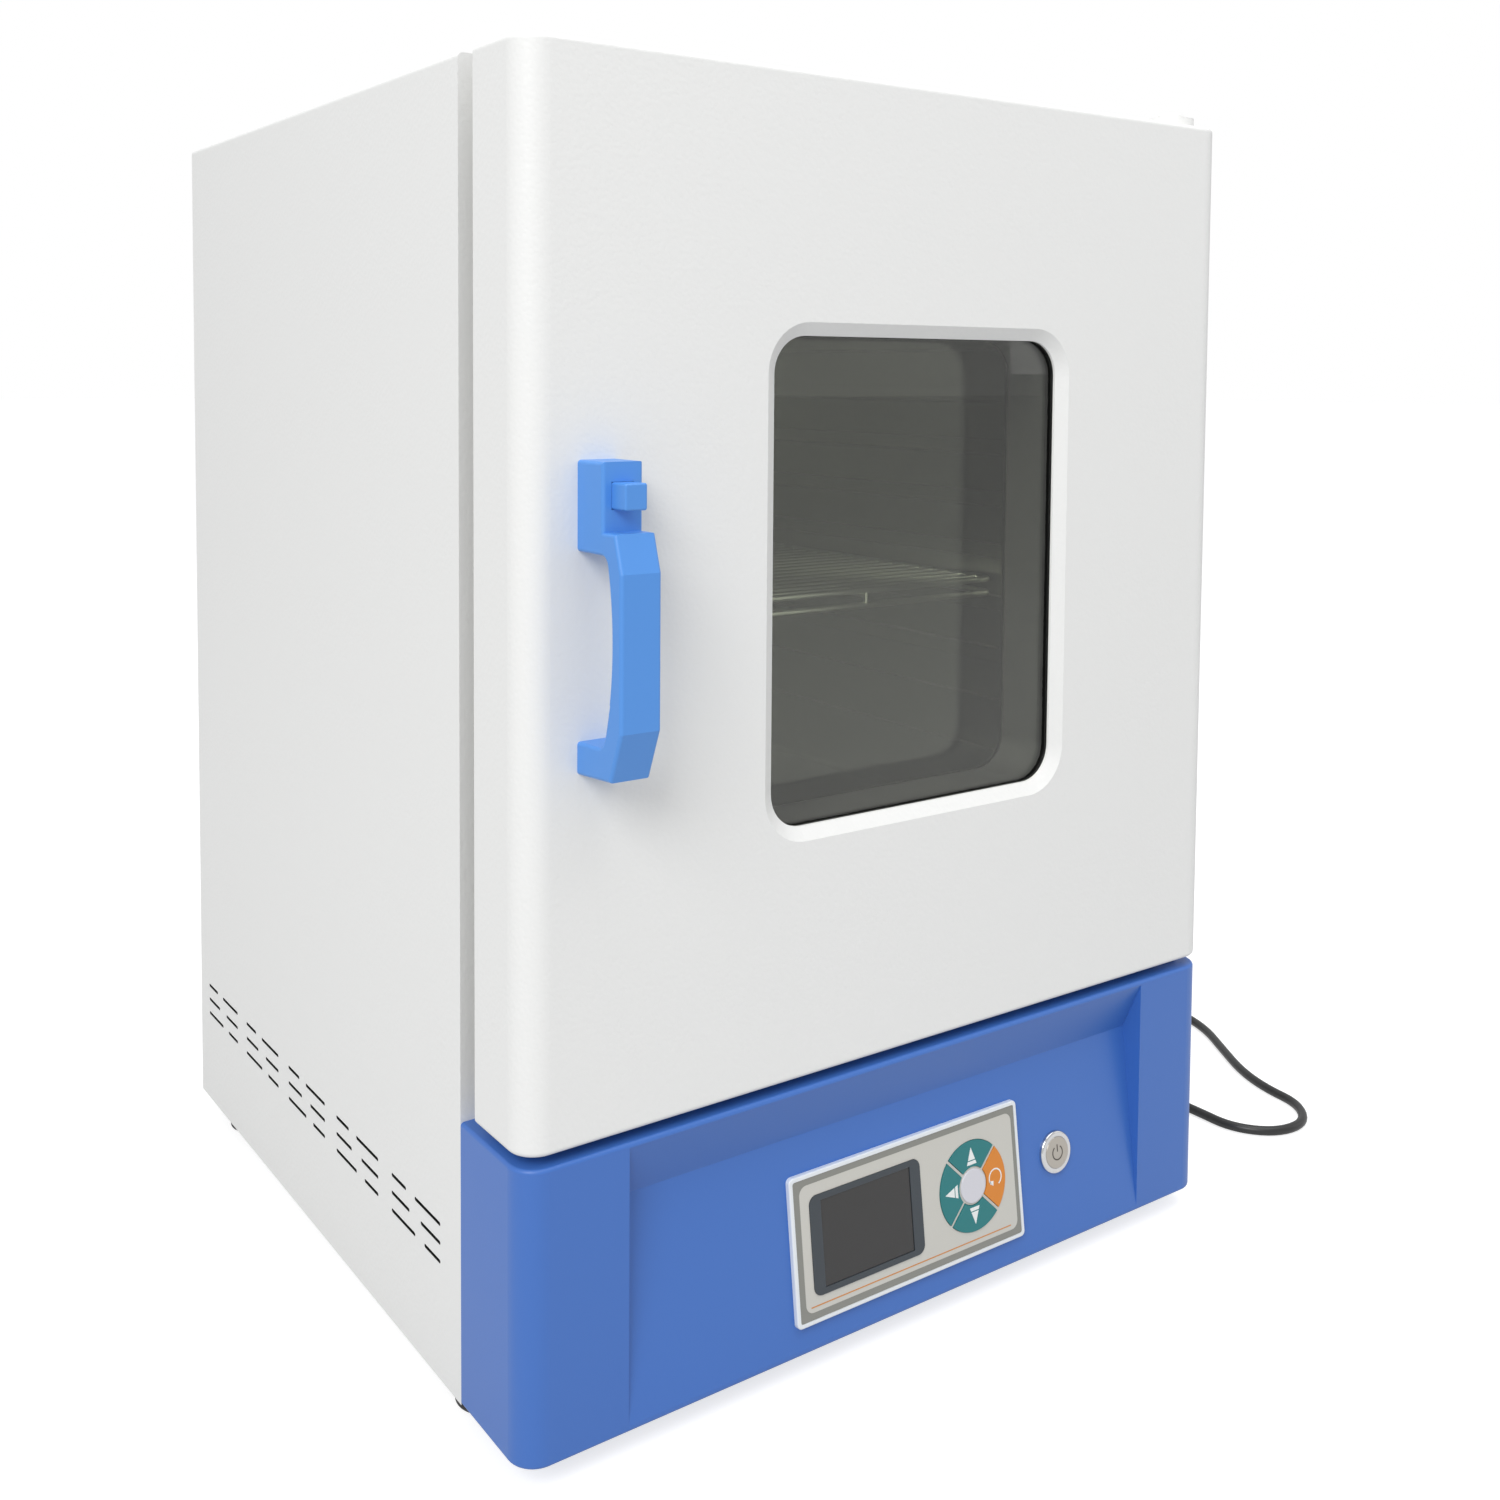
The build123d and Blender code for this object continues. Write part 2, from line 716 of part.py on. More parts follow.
# Door shell
# Pressed steel pan: bevelled window in front, open at the back.
z_window = z_chamber
door_height = z_top - z_door
z_door_mid = (z_top + z_door) / 2
x_handle = -half_width + handle_inset
z_button = z_base + button_centre
bush_hole = bush_radius + running_clearance
tail_size = 7.0
tail_hole = tail_size + 1.0
handle_screw_heights = [z_base + handle_foot + 8, z_base + handle_top - 5]
with BuildPart() as door_shell:
    with BuildSketch(Plane.XY.offset(z_door)):
        with Locations((0, (y_front + y_door_back) / 2)):
            Rectangle(cabinet_width, door_depth)
        fillet(vertices().group_by(Axis.Y)[0], front_corner_radius)
    extrude(amount=door_height)
    rims = (
        door_shell.edges().group_by(Axis.Z)[-1] + door_shell.edges().group_by(Axis.Z)[0]
    )
    fillet(rims.filter_by(lambda edge: edge.center().Y < y_door_back - 0.1), door_edge)
    with BuildSketch(Plane.XY.offset(z_door + door_sheet)):
        with Locations((0, (y_front + door_sheet + y_door_back) / 2)):
            Rectangle(cabinet_width - 2 * door_sheet, door_depth - door_sheet)
        fillet(vertices().group_by(Axis.Y)[0], front_corner_radius - door_sheet)
    extrude(amount=door_height - 2 * door_sheet, mode=Mode.SUBTRACT)
    with BuildSketch(facing(y_front + door_sheet)):
        with Locations((window_offset, z_window)):
            RectangleRounded(
                window_width + 2 * bevel_width,
                window_height + 2 * bevel_width,
                window_corner + bevel_width,
            )
    extrude(amount=-bevel_depth)
    with BuildSketch(facing(y_front)):
        with Locations((window_offset, z_window)):
            RectangleRounded(
                window_width + 2 * bevel_width,
                window_height + 2 * bevel_width,
                window_corner + bevel_width,
            )
    with BuildSketch(facing(y_front + bevel_depth)):
        with Locations((window_offset, z_window)):
            RectangleRounded(window_width, window_height, window_corner)
    loft(mode=Mode.SUBTRACT)
    with BuildSketch(facing(y_front)):
        with Locations((window_offset, z_window)):
            RectangleRounded(window_width, window_height, window_corner)
        with Locations((x_handle, z_button)):
            Rectangle(tail_hole, tail_hole)
        for height in handle_screw_heights:
            with Locations((x_handle, height)):
                Circle(screw_hole)
    extrude(amount=-(door_sheet + bevel_depth), mode=Mode.SUBTRACT)
    with BuildSketch(Plane.XY.offset(z_door)):
        with Locations((x_hinge, y_hinge)):
            Circle(bush_hole)
    extrude(amount=door_height, mode=Mode.SUBTRACT)
keep(door_shell, "door_shell")

# Window: seal, two panes and the jamb between them
y_lip = y_front + bevel_depth + door_sheet
y_seal_back = y_lip + seal_depth
y_panel = y_door_back - door_sheet
y_inner_glass = y_panel - inner_glass
glass_groove = (seal_depth - outer_glass) / 2


def window_outline(margin):
    """The window's rounded outline, grown on all sides by a margin."""
    with Locations((window_offset, z_window)):
        RectangleRounded(
            window_width + 2 * margin, window_height + 2 * margin, window_corner + margin
        )


with BuildPart() as window_seal:
    with BuildSketch(facing(y_lip)):
        window_outline(seal_width)
    extrude(amount=-seal_depth)
    with BuildSketch(facing(y_lip)):
        window_outline(0)
    extrude(amount=-seal_depth, mode=Mode.SUBTRACT)
    with BuildSketch(facing(y_lip + glass_groove)):
        window_outline(glass_bite)
    extrude(amount=-outer_glass, mode=Mode.SUBTRACT)
keep(window_seal, "window_seal")

with BuildPart() as outer_pane:
    with BuildSketch(facing(y_lip + glass_groove)):
        window_outline(glass_bite)
    extrude(amount=-outer_glass)
keep(outer_pane, "outer_pane")

with BuildPart() as window_jamb:
    with BuildSketch(facing(y_seal_back)):
        window_outline(jamb_sheet)
    extrude(amount=-(y_inner_glass - y_seal_back))
    with BuildSketch(facing(y_inner_glass)):
        window_outline(glass_bite)
    extrude(amount=jamb_sheet)
    with BuildSketch(facing(y_seal_back)):
        window_outline(0)
    extrude(amount=-(y_inner_glass - y_seal_back), mode=Mode.SUBTRACT)
keep(window_jamb, "window_jamb")

with BuildPart() as inner_pane:
    with BuildSketch(facing(y_inner_glass)):
        window_outline(glass_bite)
    extrude(amount=-inner_glass)
keep(inner_pane, "inner_pane")

# Latch: bracket, hook and spring, in a pocket of the door behind the push button
latch_half = 7.0
ear = 1.5
y_latch = y_front + latch_pivot_back
z_latch = z_button - latch_pivot_drop
hook_half = 5.0
hook_height = 10.0
spring_radius = 3.4
spring_wire = 0.5
spring_height = 10.0
spring_y = y_latch + 10.0
z_spring = z_latch - hook_height / 2 - spring_height
hook_tip = y_cab - 3.5
hook_barb = 5.0
barb_depth = 4.5
lever_width = 4.0
lever_gap = 0.4
tail_end = y_front + 14.3
pocket = (40.0, 82.0)
z_pocket = z_latch + 8.0

# Door inner panel
with BuildPart() as door_inner_panel:
    with BuildSketch(facing(y_panel)):
        with Locations((0, z_door_mid)):
            Rectangle(
                cabinet_width - 2 * door_sheet, door_height - 2 * door_sheet
            )
        with Locations((window_offset, z_window)):
            RectangleRounded(
                window_width, window_height, window_corner, mode=Mode.SUBTRACT
            )
        with Locations((x_handle, z_latch - 4)):
            Rectangle(2 * hook_half + 3, hook_height + 14, mode=Mode.SUBTRACT)
    extrude(amount=-door_sheet)
keep(door_inner_panel, "door_inner_panel")

# Door insulation
with BuildPart() as door_insulation:
    with BuildSketch(Plane.XY.offset(z_door + door_sheet)):
        with Locations((0, (y_front + door_sheet + y_panel) / 2)):
            Rectangle(
                cabinet_width - 2 * door_sheet, door_depth - 2 * door_sheet
            )
        fillet(vertices().group_by(Axis.Y)[0], front_corner_radius - door_sheet)
    extrude(amount=door_height - 2 * door_sheet)
    with BuildSketch(facing(y_front)):
        window_outline(seal_width + 2)
        with Locations((x_handle, z_pocket)):
            Rectangle(*pocket)
        for height in handle_screw_heights:
            with Locations((x_handle, height)):
                Circle(screw_head_radius + 1)
    extrude(amount=-door_depth, mode=Mode.SUBTRACT)
    with BuildSketch(Plane.XY.offset(z_door)):
        with Locations((x_hinge, y_hinge)):
            Circle(bush_hole)
    extrude(amount=bush_length + 2, mode=Mode.SUBTRACT)
    with BuildSketch(Plane.XY.offset(z_top)):
        with Locations((x_hinge, y_hinge)):
            Circle(bush_hole)
    extrude(amount=-(bush_length + 2), mode=Mode.SUBTRACT)
keep(door_insulation, "door_insulation")

# Door gasket
# Silicone frame round the chamber mouth, a hollow bead on a flat foot.
gasket_height = door_gap - gasket_clear
with BuildPart() as door_gasket:
    with BuildSketch(facing(y_cab - gasket_clear)):
        with Locations((0, z_chamber)):
            RectangleRounded(
                chamber_width + 2 * (gasket_inset + gasket_width),
                chamber_height + 2 * (gasket_inset + gasket_width),
                gasket_inset + gasket_width,
            )
    extrude(amount=gasket_height)
    fillet(
        door_gasket.edges().group_by(Axis.Y)[-1],
        gasket_width / 3,
    )
    with BuildSketch(facing(y_cab - gasket_clear)):
        with Locations((0, z_chamber)):
            RectangleRounded(
                chamber_width + 2 * gasket_inset,
                chamber_height + 2 * gasket_inset,
                gasket_inset,
            )
    extrude(amount=gasket_height, mode=Mode.SUBTRACT)
keep(door_gasket, "door_gasket")

# Latch pieces
with BuildPart() as latch_bracket:
    with BuildSketch(facing(y_front + door_sheet)):
        with Locations((x_handle, (z_spring - ear + z_button + 6) / 2)):
            Rectangle(2 * (latch_half + ear), z_button + 6 - z_spring + ear)
        with Locations((x_handle, z_button)):
            Rectangle(tail_hole, tail_hole, mode=Mode.SUBTRACT)
    extrude(amount=-ear)
    for side in (-1, 1):
        with BuildSketch(Plane.YZ.offset(x_handle + side * (latch_half + ear / 2))):
            with BuildLine():
                Polyline(
                    (y_front + door_sheet, z_spring - ear),
                    (spring_y + 6, z_spring - ear),
                    (spring_y + 6, z_spring + 3),
                    (y_latch + 6, z_latch + 6),
                    (y_latch - 6, z_latch + 8),
                    (y_front + door_sheet, z_button),
                    close=True,
                )
            make_face()
        extrude(amount=ear / 2, both=True)
    with BuildSketch(Plane.XY.offset(z_spring - ear)):
        with Locations((x_handle, spring_y)):
            Rectangle(2 * latch_half, 12)
    extrude(amount=ear)
    with BuildSketch(Plane.YZ.offset(x_handle - latch_half - ear)):
        with Locations((y_latch, z_latch)):
            Circle(latch_pin)
    extrude(amount=2 * (latch_half + ear))
keep(latch_bracket, "latch_bracket")

with BuildPart() as latch_hook:
    with BuildSketch(Plane.YZ.offset(x_handle)):
        with BuildLine():
            Polyline(
                (y_latch - 6, z_latch - hook_height / 2),
                (hook_tip, z_latch - hook_height / 2),
                (hook_tip, z_latch + hook_height / 2 + hook_barb - 2),
                (hook_tip - 2, z_latch + hook_height / 2 + hook_barb),
                (hook_tip - barb_depth, z_latch + hook_height / 2 + hook_barb),
                (hook_tip - barb_depth, z_latch + hook_height / 2),
                (y_latch + 6, z_latch + hook_height / 2),
                (tail_end + lever_gap + lever_width, z_button - 6),
                (tail_end + lever_gap + lever_width, z_button + 6),
                (tail_end + lever_gap, z_button + 6),
                (tail_end + lever_gap, z_button - 6),
                (y_latch - 6, z_latch + 3),
                close=True,
            )
        make_face()
        with Locations((y_latch, z_latch)):
            Circle(latch_pin + running_clearance, mode=Mode.SUBTRACT)
    extrude(amount=hook_half, both=True)
keep(latch_hook, "latch_hook")

spring_turns = 4
with BuildPart() as latch_spring:
    with BuildLine(Plane((x_handle, spring_y, z_spring + spring_wire))) as coil_line:
        Helix(
            pitch=(spring_height - 2 * spring_wire - 0.4) / spring_turns,
            height=spring_height - 2 * spring_wire - 0.4,
            radius=spring_radius - spring_wire,
        )
    with BuildSketch(Plane(coil_line.line @ 0, z_dir=coil_line.line % 0)):
        Circle(spring_wire)
    sweep(path=coil_line.line, is_frenet=True)
keep(latch_spring, "latch_spring")

# Strike plate
# Stepped keeper on the front frame: the hook's barb rests under its lip.
lip_y = hook_tip - barb_depth - 1.8
lip_z = z_latch + hook_height / 2 + hook_barb + 0.3
with BuildPart() as strike_plate:
    with BuildSketch(Plane.YZ.offset(x_handle)):
        with BuildLine():
            Polyline(
                (y_cab, lip_z + 5),
                (y_cab, lip_z + 24),
                (y_cab - 1.5, lip_z + 24),
                (y_cab - 1.5, lip_z + 6.5),
                (lip_y, lip_z + 6.5),
                (lip_y, lip_z),
                (lip_y + 1.5, lip_z),
                (lip_y + 1.5, lip_z + 5),
                close=True,
            )
        make_face()
    extrude(amount=strike_half, both=True)
keep(strike_plate, "strike_plate")

# Handle
# Moulded grip: a square block over a slim bowed bar, held by screws from inside the door.
y_block = y_front - block_depth
y_grip = y_front - handle_reach
z_handle = z_base + handle_foot
z_handle_top = z_base + handle_top
z_grip_top = z_base + grip_top
z_block = z_handle_top - block_height
foot_thick = 16.0
chamfer_drop = 18.0
chamfer_in = 5.7
foot_chamfer_rise = 26.3
foot_chamfer_in = 9.6
grip_thick = 8.8
with BuildPart() as handle:
    with BuildSketch(Plane.YZ.offset(x_handle)):
        with BuildLine():
            Polyline(
                (y_front, z_block),
                (y_front, z_handle_top),
                (y_block, z_handle_top),
                (y_block, z_grip_top),
                (y_grip + chamfer_in, z_grip_top),
                (y_grip, z_grip_top - chamfer_drop),
                (y_grip, z_handle + foot_chamfer_rise),
                (y_grip + foot_chamfer_in, z_handle + 2.2),
                (y_front, z_handle),
                (y_front, z_handle + foot_thick),
                (y_grip + grip_thick + 7.5, z_handle + foot_thick + 1),
            )
            ThreePointArc(
                (y_grip + grip_thick + 7.5, z_handle + foot_thick + 1),
                (y_grip + grip_thick, (z_handle + foot_thick + z_block) / 2 + 8),
                (y_grip + grip_thick + 5.0, z_block),
            )
            Line((y_grip + grip_thick + 5.0, z_block), (y_front, z_block))
        make_face()
    extrude(amount=handle_width / 2, both=True)
    bar_corners = handle.edges().filter_by(Axis.X).filter_by(
        lambda edge: y_grip + grip_thick < edge.center().Y < y_front - 8
        and z_handle + foot_thick < edge.center().Z < z_block + 0.1
    )
    fillet(bar_corners, 6)
    side_edges = (handle.faces().sort_by(Axis.X)[0].edges()
                  + handle.faces().sort_by(Axis.X)[-1].edges())
    fillet(side_edges.filter_by(lambda edge: edge.center().Y < y_front - 0.1), 1.8)
    with BuildSketch(facing(y_block)):
        with Locations((x_handle, z_button)):
            Rectangle(button_width + 2 * button_clear, button_height + 2 * button_clear)
    extrude(amount=-block_depth, mode=Mode.SUBTRACT)
    with BuildSketch(facing(y_front)):
        for height in handle_screw_heights:
            with Locations((x_handle, height)):
                Circle(screw_hole)
    extrude(amount=10, mode=Mode.SUBTRACT)
keep(handle, "handle")

with BuildPart() as handle_screws:
    for height in handle_screw_heights:
        with BuildSketch(facing(y_front + door_sheet)):
            with Locations((x_handle, height)):
                Circle(screw_head_radius)
        extrude(amount=-screw_head)
        with BuildSketch(facing(y_front + door_sheet)):
            with Locations((x_handle, height)):
                Circle(screw_radius)
        extrude(amount=9)
keep(handle_screws, "handle_screws")

# Push button on the handle
y_button = y_block - button_proud
button_body = 25.0
with BuildPart() as latch_button:
    with BuildSketch(facing(y_button)):
        with Locations((x_handle, z_button)):
            RectangleRounded(button_width, button_height, 1.2)
    extrude(amount=-button_body)
    fillet(latch_button.edges().group_by(Axis.Y)[0], 1.0)
    with BuildSketch(facing(y_button + button_body)):
        with Locations((x_handle, z_button)):
            Rectangle(tail_size, tail_size)
    extrude(amount=-(tail_end - y_button - button_body))
keep(latch_button, "latch_button")

# Hinges
# A flat arm over the door and an angle under it, each with a pin in a flanged bush.
arm_end = hinge_width / 2
angle_gap = 0.6
angle_plate = 4.0
leg_height = 48.0
leg_plate = 3.0
with BuildPart() as hinge_brackets:
    with BuildSketch(Plane.XY.offset(z_top + hinge_pad)):
        with Locations((x_hinge, (y_hinge + y_cab + hinge_tail) / 2)):
            Rectangle(hinge_width, y_cab + hinge_tail - y_hinge)
        with Locations((x_hinge, y_hinge)):
            Circle(arm_end)
        with Locations(*top_screws):
            Circle(screw_hole, mode=Mode.SUBTRACT)
    extrude(amount=hinge_arm)
    with BuildSketch(Plane.XY.offset(z_top)):
        with Locations((x_hinge, y_cab + hinge_tail / 2)):
            Rectangle(hinge_width, hinge_tail)
        with Locations(*top_screws):
            Circle(screw_hole, mode=Mode.SUBTRACT)
    extrude(amount=hinge_pad)
    with BuildSketch(Plane.XY.offset(z_top + hinge_pad + hinge_arm)):
        with Locations((x_hinge, y_hinge)):
            Circle(2 * pin_radius)
    extrude(amount=3)
    fillet(hinge_brackets.edges().group_by(Axis.Z)[-1], 1.5)
    with BuildSketch(Plane.XY.offset(z_top + hinge_pad)):
        with Locations((x_hinge, y_hinge)):
            Circle(pin_radius)
    extrude(amount=-(pin_length + hinge_pad))
    with BuildSketch(Plane.XY.offset(z_console + angle_gap)):
        with Locations((x_hinge, (y_hinge + y_cab) / 2)):
            Rectangle(hinge_width, y_cab - y_hinge)
        with Locations((x_hinge, y_hinge)):
            Circle(arm_end)
    extrude(amount=angle_plate)
    with BuildSketch(facing(y_cab)):
        with Locations((x_hinge, z_console + angle_gap + leg_height / 2)):
            Rectangle(hinge_width, leg_height)
        with Locations(*leg_screws):
            Circle(screw_hole, mode=Mode.SUBTRACT)
    extrude(amount=leg_plate)
    with BuildSketch(Plane.XY.offset(z_console + angle_gap + angle_plate)):
        with Locations((x_hinge, y_hinge)):
            Circle(pin_radius)
    extrude(amount=pin_length + door_bottom_gap - angle_gap - angle_plate)
keep(hinge_brackets, "hinge_brackets")

# Each bush lines the door from its own flange, which runs on the hinge arm.
bush_bore = pin_radius + running_clearance
top_flange = hinge_pad / 2
bottom_flange = door_bottom_gap - angle_gap - angle_plate - 0.1
with BuildPart() as hinge_bushes:
    for face, inward, flange in ((z_top, -1, top_flange), (z_door, 1, bottom_flange)):
        with BuildSketch(Plane.XY.offset(face)):
            with Locations((x_hinge, y_hinge)):
                Circle(bush_radius)
        extrude(amount=inward * bush_length)
        with BuildSketch(Plane.XY.offset(face)):
            with Locations((x_hinge, y_hinge)):
                Circle(bush_flange)
        extrude(amount=-inward * flange)
        with BuildSketch(Plane.XY.offset(face)):
            with Locations((x_hinge, y_hinge)):
                Circle(bush_bore)
        extrude(amount=bush_length, both=True, mode=Mode.SUBTRACT)
keep(hinge_bushes, "hinge_bushes")

# Screws of the cabinet and its feet, one group of separate screws
with BuildPart() as cabinet_screws:
    with BuildSketch(Plane.XY.offset(z_top + hinge_pad + hinge_arm)):
        with Locations(*top_screws):
            Circle(screw_head_radius)
    extrude(amount=screw_head)
    with BuildSketch(Plane.XY.offset(z_top + hinge_pad + hinge_arm)):
        with Locations(*top_screws):
            Circle(screw_radius)
    extrude(amount=-(hinge_pad + hinge_arm + sheet))
    with BuildSketch(facing(y_cab - leg_plate)):
        with Locations(*leg_screws):
            Circle(screw_head_radius)
    extrude(amount=screw_head)
    with BuildSketch(facing(y_cab - leg_plate)):
        with Locations(*leg_screws):
            Circle(screw_radius)
    extrude(amount=-(leg_plate + sheet))
    with BuildSketch(facing(y_back)):
        with Locations(*back_screws):
            Circle(screw_head_radius)
    extrude(amount=-screw_head)
    with BuildSketch(facing(y_back)):
        with Locations(*back_screws):
            Circle(screw_radius)
    extrude(amount=3 * sheet)
    with BuildSketch(Plane.XY.offset(foot_recess)):
        with Locations(*feet):
            Circle(foot_recess_radius - 1.2)
    extrude(amount=-3.0)
    with BuildSketch(Plane.XY.offset(foot_recess)):
        with Locations(*feet):
            Circle(foot_screw_radius)
    extrude(amount=foot_height - foot_recess + sheet + 4.0)
keep(cabinet_screws, "cabinet_screws")

# Console cover
# Moulded shell under the door, with a triangular recess whose floor slants outwards.
z_foot = z_base + recess_foot
z_lip = z_console - lip_height
y_recess = y_front + recess_depth
panel = Plane(
    origin=(0, y_front, z_foot), x_dir=(1, 0, 0), z_dir=(0, -recess_rise, recess_depth)
)
recess_shape = [
    (y_front, z_foot),
    (y_recess, z_foot + recess_rise),
    (y_front, z_lip),
    (y_front - 10, z_lip),
    (y_front - 10, z_foot),
]
with BuildPart() as console_hollow:
    with BuildSketch(Plane.XY.offset(z_base + console_wall)):
        with Locations((0, (y_front + console_wall + y_cab) / 2)):
            Rectangle(
                cabinet_width - 2 * console_wall, y_cab - y_front - console_wall
            )
        fillet(vertices().group_by(Axis.Y)[0], front_corner_radius - console_wall)
    extrude(amount=console_height - 2 * console_wall)
    with BuildSketch(Plane.YZ):
        with BuildLine():
            Polyline(*recess_shape, close=True)
        make_face()
        offset(amount=console_wall, kind=Kind.INTERSECTION)
    extrude(
        amount=recess_width / 2 + console_wall, both=True, mode=Mode.SUBTRACT
    )

with BuildPart() as console_cover:
    with BuildSketch(Plane.XY.offset(z_base)):
        with Locations((0, (y_front + y_cab) / 2)):
            Rectangle(cabinet_width, y_cab - y_front)
        fillet(vertices().group_by(Axis.Y)[0], front_corner_radius)
    extrude(amount=console_height)
    rims = (
        console_cover.edges().group_by(Axis.Z)[-1]
        + console_cover.edges().group_by(Axis.Z)[0]
    )
    fillet(rims.filter_by(lambda edge: edge.center().Y < y_cab - 0.1), console_edge)
    with BuildSketch(Plane.YZ):
        with BuildLine():
            Polyline(*recess_shape, close=True)
        make_face()
    extrude(amount=recess_width / 2, both=True, mode=Mode.SUBTRACT)
    add(console_hollow.part, mode=Mode.SUBTRACT)
    with BuildSketch(panel):
        with Locations((module_across, module_up)):
            Rectangle(frame_width - 12, frame_height - 12)
        with Locations((power_across, module_up)):
            Circle(power_body + running_clearance)
    extrude(amount=2 * console_wall, both=True, mode=Mode.SUBTRACT)
keep(console_cover, "console_cover")

# Panel frame
# White moulding that stands proud of the slanted panel, with wells for display and keys.
well_radius = keypad_radius + key_clear
well_depth = 3.4
well_wall = 1.4
rear_depth = 9.0
key_inner = hub_radius + 1.3
with BuildPart() as panel_frame:
    with BuildSketch(panel):
        with Locations((module_across, module_up)):
            RectangleRounded(frame_width, frame_height, 3)
    extrude(amount=frame_proud)
    fillet(panel_frame.faces().sort_by(Axis(panel.origin, panel.z_dir))[-1].edges(), 0.8)
    with BuildSketch(panel):
        with Locations((module_across, module_up)):
            Rectangle(frame_width - 12.4, frame_height - 12.4)
            Rectangle(frame_width - 17, frame_height - 17, mode=Mode.SUBTRACT)
    extrude(amount=-rear_depth)
    with BuildSketch(panel):
        with Locations((keypad_across, module_up)):
            Circle(well_radius + well_wall)
    extrude(amount=-well_depth - well_wall)
    with BuildSketch(panel.offset(frame_floor)):
        with Locations((module_across, module_up)):
            RectangleRounded(
                frame_width - 2 * frame_rim, frame_height - 2 * frame_rim, 1.5
            )
    extrude(amount=frame_proud, mode=Mode.SUBTRACT)
    with BuildSketch(panel.offset(frame_floor)):
        with Locations((keypad_across, module_up)):
            Circle(well_radius)
            Circle(hub_radius, mode=Mode.SUBTRACT)
    extrude(amount=-(well_depth + frame_floor), mode=Mode.SUBTRACT)
    with BuildSketch(panel.offset(frame_floor)):
        with Locations((screen_across, screen_up)):
            Rectangle(screen_width + 0.4, screen_height + 0.4)
    extrude(amount=-frame_floor, mode=Mode.SUBTRACT)
keep(panel_frame, "panel_frame")


def key_sector(grow):
    """Quarter ring of the keypad about its right-hand direction, grown on all sides."""
    with BuildLine() as boundary:
        outer = keypad_radius + grow
        inner = key_inner - grow
        half_gap = key_gap / 2 - grow
        turn_out = radians(45) - half_gap / outer
        turn_in = radians(45) - half_gap / inner
        far_corner = (outer * cos(turn_out), outer * sin(turn_out))
        near_corner = (inner * cos(turn_in), inner * sin(turn_in))
        ThreePointArc(
            (far_corner[0], -far_corner[1]), (outer, 0), far_corner
        )
        Line(far_corner, near_corner)
        ThreePointArc(
            near_corner, (inner, 0), (near_corner[0], -near_corner[1])
        )
        Line((near_corner[0], -near_corner[1]), (far_corner[0], -far_corner[1]))
    make_face(boundary.edges())


def key_plane(turn, height):
    """Plane parallel to the panel, centred on the keypad and turned by an angle."""
    centre = panel * Location((keypad_across, module_up, height), (0, 0, turn))
    return Plane(centre)


# Panel overlay
# Printed membrane in the frame, cut out for the display and the four keys.
with BuildPart() as panel_overlay:
    with BuildSketch(panel.offset(frame_floor)):
        with Locations((module_across, module_up)):
            RectangleRounded(
                frame_width - 2 * frame_rim - 0.2, frame_height - 2 * frame_rim - 0.2, 1.4
            )
        with Locations((screen_across, screen_up)):
            RectangleRounded(
                screen_width + 2 * bezel_margin_side + 0.2,
                screen_height + 2 * bezel_margin_end + 0.2,
                bezel_corner,
                mode=Mode.SUBTRACT,
            )
    extrude(amount=overlay_sheet)
    for turn in (0, 90, 180, 270):
        with BuildSketch(key_plane(turn, frame_floor)):
            key_sector(key_clear)
        extrude(amount=overlay_sheet, mode=Mode.SUBTRACT)
keep(panel_overlay, "panel_overlay")

# Display: bezel and screen
with BuildPart() as display_bezel:
    with BuildSketch(panel.offset(frame_floor)):
        with Locations((screen_across, screen_up)):
            RectangleRounded(
                screen_width + 2 * bezel_margin_side,
                screen_height + 2 * bezel_margin_end,
                bezel_corner,
            )
            Rectangle(screen_width, screen_height, mode=Mode.SUBTRACT)
    extrude(amount=overlay_sheet + 0.5)
keep(display_bezel, "display_bezel")

board_back = rear_depth
with BuildPart() as display_screen:
    with BuildSketch(panel.offset(frame_floor + overlay_sheet)):
        with Locations((screen_across, screen_up)):
            Rectangle(screen_width - 0.1, screen_height - 0.1)
    extrude(amount=-(frame_floor + overlay_sheet + board_back))
keep(display_screen, "display_screen")

# Keypad: hub and four sector keys
with BuildPart() as keypad_hub:
    with BuildSketch(panel.offset(frame_floor + overlay_sheet)):
        with Locations((keypad_across, module_up)):
            Circle(hub_radius)
    extrude(amount=0.8)
    fillet(
        keypad_hub.faces().sort_by(Axis(panel.origin, panel.z_dir))[-1].edges(), 0.4
    )
keep(keypad_hub, "keypad_hub")

key_proud = 0.5
key_floor_gap = key_travel + 0.25
for name, turn in (
    ("key_set", 0),
    ("key_up", 90),
    ("key_left", 180),
    ("key_down", 270),
):
    with BuildPart() as key:
        with BuildSketch(key_plane(turn, -well_depth + key_floor_gap)):
            key_sector(0)
        extrude(
            amount=frame_floor + overlay_sheet + key_proud + well_depth - key_floor_gap
        )
    keep(key, name)

# Control board
with BuildPart() as control_board:
    with BuildSketch(panel.offset(-board_back)):
        with Locations((module_across, module_up)):
            Rectangle(frame_width - 14, frame_height - 14)
    extrude(amount=-1.6)
    with BuildSketch(panel.offset(-board_back)):
        with Locations((module_across + 20, module_up - 22), (module_across + 64, module_up)):
            Rectangle(16, 10)
    extrude(amount=3)
keep(control_board, "control_board")

